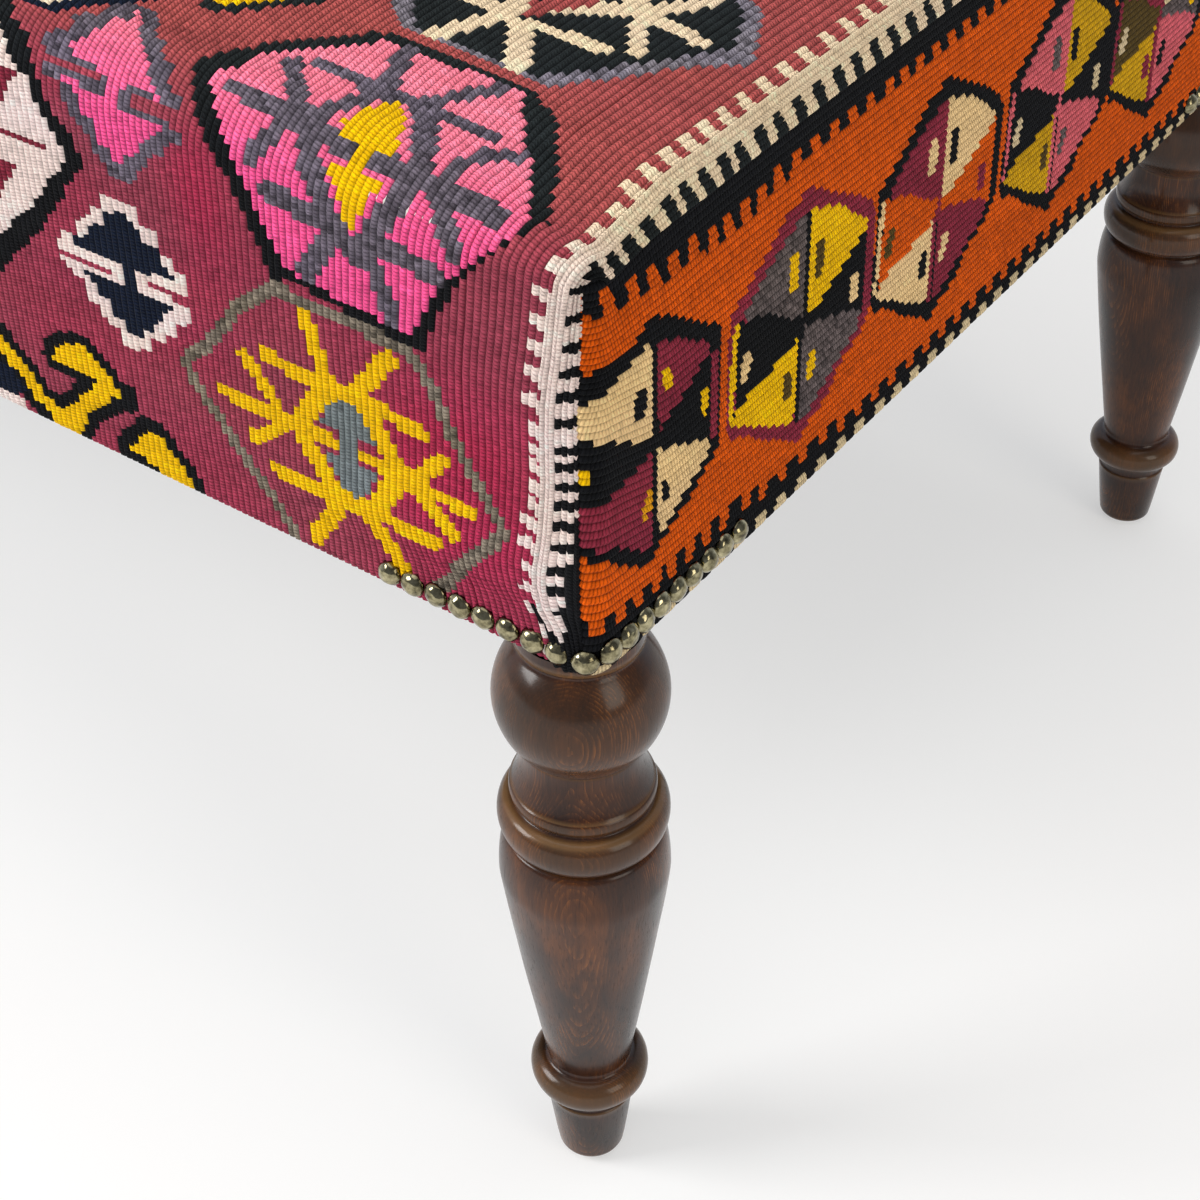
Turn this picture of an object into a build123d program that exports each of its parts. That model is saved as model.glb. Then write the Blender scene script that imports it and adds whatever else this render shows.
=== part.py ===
from build123d import *
from math import asin, cos, pi, sin, sqrt
import os

# Kilim bench: a flat-woven rug stretched over a padded timber frame on four turned legs.
# Millimetres. X runs along the bench, Y from the front to the back, Z up from the floor.
# The origin is on the floor, under the middle of the seat.

# Upholstered block, outside the woven cover
body_length = 1200.0
body_depth = 570.0
body_height = 172.0
crown_rise = 19.0
front_edge_radius = 27.0
end_edge_radius = 9.0
corner_radius = 10.0

# Soft layers
cover_thickness = 2.2
hem_width = 40.0
wadding_thickness = 5.0
layer_clearance = 0.3
inner_edge_radius = 2.0

# Timber frame
rail_thickness = 22.0
rail_height = 92.0
post_side = 46.0
post_corner_radius = 8.0
tenon_length = 16.0
tenon_thickness = 10.0
tenon_height = 46.0
tenon_top_margin = 14.0
joint_clearance = 0.1
cross_rail_height = 60.0
cross_rail_spacing = 400.0
cross_tenon_length = 10.0
cross_tenon_height = 32.0
cross_tenon_top_margin = 16.0

# Seat board and the wire staples that hold it
deck_thickness = 9.0
deck_staple_margin = 51.5
deck_staple_crown = 12.0
deck_staple_wire = 1.5
deck_staple_length = 25.0
staple_clearance = 0.05

# Turned leg, each stretch named from the floor up
leg_inset = 25.0
leg_facets = 24
quirk_height = 0.8
pad_thickness = 2.0
pad_radius = 9.0
foot_edge_height = 3.0
foot_edge_radius = 10.2
foot_bottom_radius = 13.7
foot_height = 34.5
foot_top_radius = 17.6
ankle_cove_height = 6.5
ankle_cove_radius = 16.9
ankle_ring_seat_radius = 18.6
ankle_ring_height = 15.0
ankle_ring_radius = 24.0
ankle_ring_steps = 4
waist_radius = 16.9
taper_height = 109.4
taper_steps = 3
taper_curve_share = 1.1
vase_radius = 32.8
shoulder_height = 19.8
shoulder_steps = 3
groove_height = 1.6
groove_radius = 29.0
torus_height = 15.8
torus_radius = 32.6
torus_top_radius = 27.6
torus_steps = 4
collar_groove_radius = 26.2
collar_lip_height = 6.0
collar_lip_radius = 27.2
collar_cove_height = 19.4
collar_neck_radius = 22.8
collar_cove_depth = 1.4
ball_radius = 32.5
ball_steps = 6
neck_groove_height = 2.0
neck_groove_radius = 22.6
neck_radius = 23.8
neck_height = 6.6

# Screw that joins a leg to its post, a double-ended wood screw
leg_screw_radius = 4.0
leg_screw_rise = 32.0
leg_screw_sink = 40.0
leg_screw_clearance = 0.1

# Domed nails near each corner
nails_per_row = 9
front_nail_first = 5.0
front_nail_pitch = 10.6
front_nail_rise = 8.2
end_nail_first = 8.8
end_nail_pitch = 9.9
end_nail_rise = 10.4
nail_radius = 4.8
nail_top_radius = 2.6
nail_height = 2.3
nail_facets = 6
nail_shank_side = 1.4
nail_shank_length = 13.0
nail_shank_facets = 4
nail_shank_turn = 45.0
nail_point_side = 0.4
nail_hole_clearance = 0.05

# Dust cover under the frame
dust_cover_thickness = 0.6
dust_cover_inset = 15.0
leg_cutout_clearance = 3.0

# Overrun of cutting shapes
overrun = 5.0

# Sizes that follow from those above
quadrant_share = cos(pi / 4)
ball_low = sqrt(ball_radius**2 - collar_neck_radius**2)
ball_high = sqrt(ball_radius**2 - neck_groove_radius**2)

foot_top = pad_thickness + foot_height
ankle_ring_bottom = foot_top + ankle_cove_height
ankle_ring_top = ankle_ring_bottom + ankle_ring_height
vase_widest = ankle_ring_top + taper_height
groove_bottom = vase_widest + shoulder_height
torus_bottom = groove_bottom + groove_height
torus_top = torus_bottom + torus_height
collar_bottom = torus_top + groove_height
collar_lip_top = collar_bottom + collar_lip_height
ball_bottom = collar_lip_top + collar_cove_height
ball_top = ball_bottom + ball_low + ball_high
neck_bottom = ball_top + neck_groove_height
leg_top = neck_bottom + neck_height

edge_height = leg_top + body_height
frame_inset = cover_thickness + layer_clearance
frame_length = body_length - 2 * frame_inset
frame_depth = body_depth - 2 * frame_inset
frame_bottom = leg_top + cover_thickness
frame_top = frame_bottom + rail_height
deck_top = frame_top + deck_thickness

leg_x = body_length / 2 - leg_inset
leg_y = body_depth / 2 - leg_inset
long_rail_length = frame_length - 2 * post_side
end_rail_length = frame_depth - 2 * post_side
rail_x = frame_length / 2 - rail_thickness / 2
rail_y = frame_depth / 2 - rail_thickness / 2

corners = {
    "front_left": (-1, -1),
    "front_right": (1, -1),
    "back_left": (-1, 1),
    "back_right": (1, 1),
}


def block(low, high):
    """A rectangular block between two opposite corners."""
    size = [b - a for a, b in zip(low, high)]
    middle = [(a + b) / 2 for a, b in zip(low, high)]
    return Pos(*middle) * Box(*size)


def rod(radius, bottom, top, x=0, y=0):
    """An upright cylinder."""
    return Pos(x, y, (bottom + top) / 2) * Cylinder(radius, top - bottom)


def crowned_outline(half, edge, radius, bottom):
    """The seat seen from one side: upright sides, rounded shoulders and a crowned top."""
    bend_in = radius * (1 - quadrant_share)
    side = edge - radius
    shoulder = half - radius
    return [
        Line((-half, bottom), (-half, side)),
        ThreePointArc((-half, side), (bend_in - half, edge - bend_in), (-shoulder, edge)),
        ThreePointArc((-shoulder, edge), (0, edge + crown_rise), (shoulder, edge)),
        ThreePointArc((shoulder, edge), (half - bend_in, edge - bend_in), (half, side)),
        Line((half, side), (half, bottom)),
        Line((half, bottom), (-half, bottom)),
    ]


def seat_form(inset, bottom):
    """The block pulled in on every side: crowned both ways, with soft long edges and crisper ends."""
    half_x = body_length / 2 - inset
    half_y = body_depth / 2 - inset
    edge = edge_height - inset
    soft = max(front_edge_radius - inset, inner_edge_radius)
    crisp = max(end_edge_radius - inset, inner_edge_radius)
    upright = max(corner_radius - inset, inner_edge_radius)
    across = make_face(crowned_outline(half_y, edge, soft, bottom))
    along = make_face(crowned_outline(half_x, edge, crisp, bottom))
    form = extrude(Plane.YZ * across, half_x, both=True)
    form &= extrude(Plane.XZ * along, half_y, both=True)
    plan = RectangleRounded(2 * half_x, 2 * half_y, upright)
    return form & Pos(0, 0, bottom) * extrude(plan, edge + crown_rise - bottom)


def row_place(along):
    """How far a nail stands in from its face and how the face has turned there, near a corner."""
    share = max(corner_radius - along, 0) / corner_radius
    turn = asin(share)
    return corner_radius * (1 - cos(turn)), share, cos(turn)


def nail_places():
    """Each nail's point on the cover and its outward direction: two rows at every corner."""
    places = []
    for side_x, side_y in corners.values():
        for count in range(nails_per_row):
            along = front_nail_first + count * front_nail_pitch
            inward, aside, ahead = row_place(along)
            x = side_x * (body_length / 2 - along)
            y = side_y * (body_depth / 2 - inward)
            outward = (side_x * aside, side_y * ahead, 0)
            places.append(((x, y, leg_top + front_nail_rise), outward))
            along = end_nail_first + count * end_nail_pitch
            inward, aside, ahead = row_place(along)
            x = side_x * (body_length / 2 - inward)
            y = side_y * (body_depth / 2 - along)
            outward = (side_x * ahead, side_y * aside, 0)
            places.append(((x, y, leg_top + end_nail_rise), outward))
    return places


def nail_plane(point, outward):
    """A working plane on the cover that faces outwards, with its Y upright."""
    return Plane(origin=point, x_dir=(-outward[1], outward[0], 0), z_dir=outward)


def nail_hole():
    """The pilot hole of one nail, through the cover and into the timber."""
    side = nail_shank_side + 2 * nail_hole_clearance
    depth = nail_shank_length + nail_hole_clearance
    return block((-side / 2, -side / 2, -depth), (side / 2, side / 2, overrun))


def ringed_solid(outline, facets):
    """A turned form of flats: one ring of points for each place of its outline."""
    turns = [2 * pi * step / facets for step in range(facets)]
    rings = [
        [(radius * cos(turn), radius * sin(turn), height) for turn in turns]
        for radius, height in outline
    ]
    walls = [rings[0], rings[-1]]
    for low, high in zip(rings, rings[1:]):
        for step in range(facets):
            after = (step + 1) % facets
            walls.append([low[step], low[after], high[after], high[step]])
    return Solid(Shell([Face(Wire.make_polygon(wall)) for wall in walls]))


def touches(one, other):
    """True where the boxes around two solids share some space."""
    a = one.bounding_box()
    b = other.bounding_box()
    apart = [a.min.X > b.max.X, a.min.Y > b.max.Y, a.min.Z > b.max.Z]
    apart += [b.min.X > a.max.X, b.min.Y > a.max.Y, b.min.Z > a.max.Z]
    return not any(apart)


def drill(solid, holes):
    """Cuts the holes that reach a solid."""
    reached = [hole for hole in holes if touches(solid, hole)]
    return solid - reached if reached else solid


def nail_holes():
    """The pilot holes of all the nails."""
    hole = nail_hole()
    return [nail_plane(*place) * hole for place in nail_places()]


def bead(bottom, top, low_seat, high_seat, radius, steps):
    """Points round a turned bead, without its first one."""
    points = []
    for step in range(1, steps + 1):
        turn = pi * step / steps - pi / 2
        share = (1 + sin(turn)) / 2
        seat = low_seat + (high_seat - low_seat) * share
        points.append((seat + (radius - seat) * cos(turn), bottom + (top - bottom) * share))
    return points


def vase_taper():
    """Points from above the waist up to the widest place of the vase."""
    points = []
    for step in range(1, taper_steps + 1):
        down = 1 - step / taper_steps
        radius = vase_radius - (vase_radius - waist_radius) * down**taper_curve_share
        points.append((radius, vase_widest - taper_height * down))
    return points


def vase_shoulder():
    """Points that round the vase in towards the groove under the torus."""
    points = []
    for step in range(1, shoulder_steps + 1):
        turn = pi / 2 * step / shoulder_steps
        radius = groove_radius + (vase_radius - groove_radius) * cos(turn)
        points.append((radius, vase_widest + shoulder_height * sin(turn)))
    return points


def ball():
    """Points round the ball, from the collar's neck to the groove under the leg's own neck."""
    low = -asin(ball_low / ball_radius)
    high = asin(ball_high / ball_radius)
    middle = ball_bottom + ball_low
    turns = [low + (high - low) * step / ball_steps for step in range(ball_steps + 1)]
    return [(ball_radius * cos(turn), middle + ball_radius * sin(turn)) for turn in turns]


def turned_leg():
    """The leg is one turning: foot, ankle ring, vase, torus, collar, ball and neck.

    Each place of its outline is a ring with many flats, which keeps the solid light.
    """
    cove_middle = (collar_lip_top + ball_bottom) / 2
    cove_radius = (collar_lip_radius + collar_neck_radius) / 2 - collar_cove_depth
    outline = [
        (foot_edge_radius, pad_thickness),
        (foot_bottom_radius, pad_thickness + foot_edge_height),
        (foot_top_radius, foot_top),
        (ankle_cove_radius, foot_top + quirk_height),
        (ankle_ring_seat_radius, ankle_ring_bottom),
        *bead(
            ankle_ring_bottom,
            ankle_ring_top,
            ankle_ring_seat_radius,
            waist_radius,
            ankle_ring_radius,
            ankle_ring_steps,
        ),
        *vase_taper(),
        *vase_shoulder(),
        (groove_radius, torus_bottom),
        *bead(torus_bottom, torus_top, groove_radius, torus_top_radius, torus_radius, torus_steps),
        (collar_groove_radius, collar_bottom),
        (collar_lip_radius, collar_bottom + quirk_height),
        (collar_lip_radius, collar_lip_top),
        (cove_radius, cove_middle),
        *ball(),
        (neck_groove_radius, neck_bottom),
        (neck_radius, neck_bottom + quirk_height),
        (neck_radius, leg_top),
    ]
    bore = leg_screw_radius + leg_screw_clearance
    bore_bottom = leg_top - leg_screw_sink - leg_screw_clearance
    return ringed_solid(outline, leg_facets) - rod(bore, bore_bottom, leg_top + overrun)


def leg_screw():
    """The double-ended screw up from the leg into the post."""
    return rod(leg_screw_radius, leg_top - leg_screw_sink, frame_bottom + leg_screw_rise)


def foot_pad():
    """A felt pad under the foot."""
    return rod(pad_radius, 0, pad_thickness)


def corner_post(side_x, side_y):
    """A square post with mortises for both rails and a bore for the leg's screw."""
    outer_x = side_x * frame_length / 2
    outer_y = side_y * frame_depth / 2
    inner_x = outer_x - side_x * post_side
    inner_y = outer_y - side_y * post_side
    low = (min(outer_x, inner_x), min(outer_y, inner_y), frame_bottom)
    high = (max(outer_x, inner_x), max(outer_y, inner_y), frame_top)
    post = block(low, high)
    uprights = post.edges().filter_by(Axis.Z)
    outer_edge = uprights.sort_by(lambda e: side_x * e.center().X + side_y * e.center().Y)[-1]
    post = fillet(outer_edge, post_corner_radius)
    for tenon in rail_tenons(joint_clearance):
        post -= tenon
    bore = leg_screw_radius + leg_screw_clearance
    bore_top = frame_bottom + leg_screw_rise + leg_screw_clearance
    post -= rod(bore, frame_bottom - overrun, bore_top, side_x * leg_x, side_y * leg_y)
    return drill(post, nail_holes())


def rail_tenons(ease):
    """The tenons of the four rails, eased for the mortises that take them."""
    top = frame_top - tenon_top_margin + ease
    bottom = frame_top - tenon_top_margin - tenon_height - ease
    half = tenon_thickness / 2 + ease
    long_end = long_rail_length / 2 + tenon_length + ease
    cross_end = end_rail_length / 2 + tenon_length + ease
    tenons = []
    for side in (-1, 1):
        y = side * rail_y
        tenons.append(block((-long_end, y - half, bottom), (long_end, y + half, top)))
        x = side * rail_x
        tenons.append(block((x - half, -cross_end, bottom), (x + half, cross_end, top)))
    return tenons


def cross_tenons(ease):
    """The stub tenons of the cross rails."""
    top = frame_top - cross_tenon_top_margin + ease
    bottom = frame_top - cross_tenon_top_margin - cross_tenon_height - ease
    half = tenon_thickness / 2 + ease
    end = frame_depth / 2 - rail_thickness + cross_tenon_length + ease
    return [
        block((x - half, -end, bottom), (x + half, end, top))
        for x in (-cross_rail_spacing / 2, cross_rail_spacing / 2)
    ]


def deck_staple_places():
    """Three staples into each long rail and one into each end rail, along the rail."""
    places = [Pos(side * rail_x, 0, deck_top) * Rot(0, 0, 90) for side in (-1, 1)]
    outer = long_rail_length / 2 - deck_staple_margin
    for side in (-1, 1):
        for x in (-outer, 0, outer):
            places.append(Pos(x, side * rail_y, deck_top))
    return places


def deck_staple(ease):
    """A wire staple driven flush, or its eased slot."""
    half = deck_staple_crown / 2 + ease
    width = deck_staple_wire / 2 + ease
    inner = deck_staple_crown / 2 - deck_staple_wire - ease
    foot = -deck_staple_length - ease
    staple = block((-half, -width, foot), (half, width, 0))
    reach = width + overrun
    return staple - block((-inner, -reach, foot - overrun), (inner, reach, -2 * width))


def staple_slots():
    """The slots of all the deck's staples."""
    slot = deck_staple(staple_clearance)
    return [place * slot for place in deck_staple_places()]


def long_rail(side):
    """A front or back rail with its end tenons and the cross rails' mortises."""
    y = side * rail_y
    half = rail_thickness / 2
    rail = block(
        (-long_rail_length / 2, y - half, frame_bottom),
        (long_rail_length / 2, y + half, frame_top),
    )
    rail += rail_tenons(0)[0 if side < 0 else 2]
    for tenon in cross_tenons(joint_clearance):
        rail -= tenon
    return drill(rail, nail_holes() + staple_slots())


def end_rail(side):
    """A left or right rail with its end tenons."""
    x = side * rail_x
    half = rail_thickness / 2
    rail = block(
        (x - half, -end_rail_length / 2, frame_bottom),
        (x + half, end_rail_length / 2, frame_top),
    )
    rail += rail_tenons(0)[1 if side < 0 else 3]
    return drill(rail, nail_holes() + staple_slots())


def cross_rail(index):
    """A cross rail under the deck, tenoned into the long rails."""
    x = (-cross_rail_spacing / 2, cross_rail_spacing / 2)[index]
    half = rail_thickness / 2
    end = frame_depth / 2 - rail_thickness
    rail = block((x - half, -end, frame_top - cross_rail_height), (x + half, end, frame_top))
    return rail + cross_tenons(0)[index]


def seat_deck():
    """The plywood board that carries the foam."""
    deck = block(
        (-frame_length / 2, -frame_depth / 2, frame_top),
        (frame_length / 2, frame_depth / 2, deck_top),
    )
    deck = fillet(deck.edges().filter_by(Axis.Z), post_corner_radius)
    return drill(deck, staple_slots())


def foam_slab():
    """The firm foam block, crowned like the seat."""
    return seat_form(frame_inset + wadding_thickness + layer_clearance, deck_top)


def wadding():
    """The polyester layer over the foam, down to the deck."""
    outer = seat_form(frame_inset, deck_top)
    inner = seat_form(frame_inset + wadding_thickness, deck_top - overrun)
    return outer - inner


def kilim_cover():
    """The woven cover: a shell over the padding with its hem turned under the frame."""
    cover = seat_form(0, leg_top) - seat_form(cover_thickness, frame_bottom)
    open_x = body_length / 2 - hem_width
    open_y = body_depth / 2 - hem_width
    cover -= block((-open_x, -open_y, leg_top - overrun), (open_x, open_y, frame_bottom + overrun))
    bore = leg_screw_radius + leg_screw_clearance
    for side_x, side_y in corners.values():
        x = side_x * leg_x
        y = side_y * leg_y
        cover -= rod(bore, leg_top - overrun, frame_bottom + overrun, x, y)
    return drill(cover, nail_holes())


def dust_cover():
    """Thin cloth under the frame, notched round the legs."""
    half_x = body_length / 2 - dust_cover_inset
    half_y = body_depth / 2 - dust_cover_inset
    bottom = leg_top - dust_cover_thickness
    cloth = block((-half_x, -half_y, bottom), (half_x, half_y, leg_top))
    notch = leg_inset + neck_radius + leg_cutout_clearance
    for side_x, side_y in corners.values():
        near = (side_x * (body_length / 2 - notch), side_y * (body_depth / 2 - notch))
        far = (side_x * body_length / 2, side_y * body_depth / 2)
        low = (min(near[0], far[0]), min(near[1], far[1]), bottom - overrun)
        high = (max(near[0], far[0]), max(near[1], far[1]), leg_top + overrun)
        cloth -= block(low, high)
    return cloth


def nail():
    """A domed nail with hammered facets and a square tapered shank."""
    head = ringed_solid([(nail_radius, 0), (nail_top_radius, nail_height)], nail_facets)
    shank_corner = nail_shank_side * quadrant_share
    point_corner = nail_point_side * quadrant_share
    shank_outline = [(point_corner, -nail_shank_length), (shank_corner, 0)]
    return head + Rot(0, 0, nail_shank_turn) * ringed_solid(shank_outline, nail_shank_facets)


def save(name, shape):
    """Writes one sub-part."""
    shape.label = name
    export_step(shape, os.path.join("parts", name + ".step"))


def at_legs(solid):
    """Copies of a solid on the four leg axes."""
    return [Pos(side_x * leg_x, side_y * leg_y, 0) * solid for side_x, side_y in corners.values()]


def build():
    """Makes every sub-part and writes it."""
    os.makedirs("parts", exist_ok=True)
    leg = turned_leg()
    for name, placed in zip(corners, at_legs(leg)):
        save("leg_" + name, placed)
    for name, sides in corners.items():
        save("post_" + name, corner_post(*sides))
    save("leg_screws", Compound(children=at_legs(leg_screw())))
    save("foot_pads", Compound(children=at_legs(foot_pad())))
    save("rail_front", long_rail(-1))
    save("rail_back", long_rail(1))
    save("rail_left", end_rail(-1))
    save("rail_right", end_rail(1))
    save("cross_rail_left", cross_rail(0))
    save("cross_rail_right", cross_rail(1))
    save("seat_deck", seat_deck())
    staple = deck_staple(0)
    save("deck_staples", Compound(children=[place * staple for place in deck_staple_places()]))
    save("foam_slab", foam_slab())
    save("wadding", wadding())
    save("kilim_cover", kilim_cover())
    save("dust_cover", dust_cover())
    one_nail = nail()
    nails = [nail_plane(*place) * one_nail for place in nail_places()]
    save("dome_nails", Compound(children=nails))


build()
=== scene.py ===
import re
from math import asin, cos, pi, radians, sin, sqrt

import bmesh
import bpy
import numpy as np
from mathutils import Matrix, Vector


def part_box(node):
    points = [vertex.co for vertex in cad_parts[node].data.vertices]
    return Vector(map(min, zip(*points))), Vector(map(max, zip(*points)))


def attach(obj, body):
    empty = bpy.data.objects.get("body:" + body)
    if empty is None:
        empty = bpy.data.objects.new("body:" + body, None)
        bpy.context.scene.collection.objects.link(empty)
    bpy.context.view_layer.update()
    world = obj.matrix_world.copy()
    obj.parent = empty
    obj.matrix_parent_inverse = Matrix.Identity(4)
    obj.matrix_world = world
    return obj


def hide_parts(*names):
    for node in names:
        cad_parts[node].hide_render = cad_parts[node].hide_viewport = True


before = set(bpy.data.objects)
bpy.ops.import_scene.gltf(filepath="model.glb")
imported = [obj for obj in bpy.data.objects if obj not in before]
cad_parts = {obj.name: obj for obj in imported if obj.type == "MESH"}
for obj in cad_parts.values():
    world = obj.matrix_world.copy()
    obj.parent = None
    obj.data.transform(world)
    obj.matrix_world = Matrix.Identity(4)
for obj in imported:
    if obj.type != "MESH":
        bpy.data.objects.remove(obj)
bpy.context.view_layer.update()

# Sizes in millimetres, in the frame of the solids
MM = 0.001
HALF_LENGTH = 600.0
HALF_DEPTH = 285.0
LEG_TOP = 286.7
HEIGHT = 172.0
BEND = 27.0
CORNER = 10.0
CORNER_BEND = 10.0
LEG_X = 575.0
LEG_Y = 260.0
STRAIGHT = HEIGHT - BEND
BEND_LENGTH = 50.0
TOP_START = STRAIGHT + BEND_LENGTH
TOP_LENGTH = 2 * (HALF_DEPTH - BEND)
SHEET = 2 * TOP_START + TOP_LENGTH
HEM = 38.0
FOLD = 139.5

# Radius at which the rug turns under the frame
ROLL = 4.5

# The stuffed top: its edge at the corners, and how far and how fast it rises from there
CORNER_TOP = 452.0
LONG_RISE, LONG_REACH = 20.0, 100.0
DEEP_RISE, DEEP_REACH = 9.0, 28.0

# The camera's place. The pattern was read along lines of sight from it, on this flatter form.
SIGHT = (939.16, -744.54, 810.53)
READ_CROWN, READ_REACH = 7.0, 591.0
READ_TOP_START = STRAIGHT + BEND * pi / 2


def smooth(value, low, high):
    share = np.clip((value - low) / (high - low), 0, 1)
    return share * share * (3 - 2 * share)


def drift(a, b, size_a, size_b, seed):
    """A slow seeded variation from -1 to 1 over two coordinates."""
    chance = np.random.default_rng(seed)
    grid = chance.uniform(-1, 1, (97, 97))
    u = (a / size_a) % 96
    v = (b / size_b) % 96
    i = np.floor(u).astype(int)
    j = np.floor(v).astype(int)
    fu = u - i
    fv = v - j
    fu = fu * fu * (3 - 2 * fu)
    fv = fv * fv * (3 - 2 * fv)
    low = grid[i, j] * (1 - fu) + grid[i + 1, j] * fu
    high = grid[i, j + 1] * (1 - fu) + grid[i + 1, j + 1] * fu
    return low * (1 - fv) + high * fv


# ---------------------------------------------------------------- shaders


class Nodes:
    """Short calls that add nodes to a tree. A value is a number, a colour or a node's output."""

    def __init__(self, tree):
        self.nodes, self.links = tree.nodes, tree.links
        self.nodes.clear()

    def put(self, socket, value):
        if isinstance(value, bpy.types.NodeSocket):
            self.links.new(value, socket)
        elif isinstance(value, (tuple, list)) and len(value) == 3 and socket.type == "RGBA":
            socket.default_value = (*value, 1.0)
        else:
            socket.default_value = value

    def add(self, kind, values=(), output=0, **settings):
        """One output of a new node, whose inputs take values in order or by number or name."""
        node = self.nodes.new("ShaderNode" + kind)
        for key, value in settings.items():
            setattr(node, key, value)
        for key, value in (values if isinstance(values, dict) else dict(enumerate(values))).items():
            self.put(node.inputs[key], value)
        return node.outputs[output]

    def math(self, operation, *values):
        return self.add("Math", values, operation=operation)

    def times(self, one, other):
        return self.math("MULTIPLY", one, other)

    def plus(self, one, other):
        return self.math("ADD", one, other)

    def remap(self, value, low, high, new_low, new_high):
        return self.add("MapRange", (value, low, high, new_low, new_high))

    def mix(self, share, one, other, blend="MIX"):
        values = {0: share, 6: one, 7: other}
        return self.add("Mix", values, 2, data_type="RGBA", blend_type=blend)

    def noise(self, place, scale, detail=2.0, rough=0.5, distortion=0.0):
        values = {"Vector": place, "Scale": scale, "Detail": detail, "Roughness": rough,
                  "Distortion": distortion}
        return self.add("TexNoise", values)

    def chance(self, place):
        return self.add("TexWhiteNoise", [place])

    def cells(self, place, scale, feature="F1"):
        return self.add("TexVoronoi", {"Vector": place, "Scale": scale}, feature=feature)

    def place(self, scale=(1, 1, 1)):
        return self.stretch(self.add("TexCoord", output="Object"), scale)

    def stretch(self, vector, scale):
        return self.add("Mapping", {"Vector": vector, "Scale": scale})

    def split(self, vector):
        node = self.nodes.new("ShaderNodeSeparateXYZ")
        self.links.new(vector, node.inputs[0])
        return node.outputs

    def join(self, x, y, z=0.0):
        return self.add("CombineXYZ", (x, y, z))

    def attribute(self, name, output="Color"):
        return self.add("Attribute", output=output, attribute_name=name)

    def ramp(self, share, *stops):
        """A colour ramp from (position, colour code) pairs."""
        node = self.nodes.new("ShaderNodeValToRGB")
        self.put(node.inputs[0], share)
        elements = node.color_ramp.elements
        while len(elements) < len(stops):
            elements.new(0.5)
        for element, (position, code) in zip(elements, stops):
            element.position = position
            element.color = (*linear(code), 1.0)
        return node.outputs[0]

    def bump(self, height, strength, distance):
        return self.add("Bump", {"Strength": strength, "Distance": distance, "Height": height})

    def backdrop_rays(self):
        """1 for a ray that shows the backdrop: from the camera, or by way of metal or glass."""
        rays = self.nodes.new("ShaderNodeLightPath").outputs
        direct = self.math("MAXIMUM", rays["Is Camera Ray"], rays["Is Glossy Ray"])
        direct = self.math("MAXIMUM", direct, rays["Is Transmission Ray"])
        return direct, rays["Is Glossy Ray"]


class Shader(Nodes):
    """A node material with one Principled shader."""

    def __init__(self, name, metallic=0.0, **constants):
        self.material = bpy.data.materials.new(name)
        self.material.use_nodes = True
        super().__init__(self.material.node_tree)
        out = self.nodes.new("ShaderNodeOutputMaterial")
        self.surface = self.nodes.new("ShaderNodeBsdfPrincipled")
        self.links.new(self.surface.outputs[0], out.inputs[0])
        self.surface.inputs["Metallic"].default_value = metallic
        for key, value in constants.items():
            self.surface.inputs[key.replace("_", " ")].default_value = value

    def finish(self, colour, roughness, normal=None):
        self.put(self.surface.inputs["Base Color"], colour)
        self.put(self.surface.inputs["Roughness"], roughness)
        if normal is not None:
            self.put(self.surface.inputs["Normal"], normal)
        return self.material


def linear(code):
    """A colour written as on a screen, as the linear values that a shader takes."""
    values = [int(code[i : i + 2], 16) / 255 for i in (0, 2, 4)]
    return tuple(v / 12.92 if v <= 0.04045 else ((v + 0.055) / 1.055) ** 2.4 for v in values)


def kilim_material():
    """Wool: ribs with beads of twisted yarn, from the weave map, in the colours of the cells."""
    s = Shader("kilim_wool", Sheen_Weight=0.02, Sheen_Roughness=0.4, Specular_IOR_Level=0.08)
    across, along, _ = s.split(s.add("UVMap", uv_map="weave"))
    rib_at = s.math("FRACT", across)
    rib_number = s.math("FLOOR", across)
    off_centre = s.math("SUBTRACT", s.times(rib_at, 2.0), 1.0)
    rib = s.math("SUBTRACT", 1.0, s.times(off_centre, off_centre))
    parity = s.math("FRACT", s.times(rib_number, 0.5))
    phase = s.plus(s.plus(along, parity), s.times(off_centre, 0.3))
    wander = s.noise(s.join(across, along), 0.35, 2.0)
    phase = s.plus(phase, s.times(wander, 0.9))
    bead = s.math("ABSOLUTE", s.math("SINE", s.times(phase, pi)))
    bead = s.math("POWER", bead, 0.55)
    bead_number = s.math("FLOOR", phase)
    fibre = s.noise(s.place(), 2300.0, 3.0, 0.7)
    ply = s.math("SINE", s.plus(s.times(phase, 2.0 * pi), s.times(off_centre, 9.0)))
    yarn = s.chance(s.join(rib_number, bead_number))
    height = s.plus(s.times(rib, 0.55), s.times(bead, 0.48))
    height = s.plus(height, s.times(fibre, 0.3))
    height = s.plus(height, s.times(ply, 0.05))
    height = s.plus(height, s.times(yarn, 0.12))
    normal = s.bump(height, 0.95, 0.0012)
    # Painted shade and highlight: darker colour in the valleys and between beads, lighter on the
    # crests, with yarn and fibre tone at random
    shade = s.remap(s.math("POWER", rib, 0.62), 0.0, 1.0, 0.38, 1.42)
    shade = s.times(shade, s.remap(bead, 0.0, 1.0, 0.55, 1.06))
    shade = s.times(shade, s.remap(yarn, 0.0, 1.0, 0.88, 1.12))
    shade = s.times(shade, s.remap(fibre, 0.25, 0.75, 0.80, 1.20))
    yarn = s.attribute("yarn")
    green = s.split(yarn)[1]
    # Pale yarns take less of the painted shade and highlight
    shade = s.math("POWER", shade, s.remap(green, 0.0, 1.0, 1.0, 0.2))
    colour = s.mix(1.0, yarn, s.join(shade, shade, shade), "MULTIPLY")
    rough = s.remap(fibre, 0.2, 0.8, 0.72, 0.92)
    return s.finish(colour, rough, normal)


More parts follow.
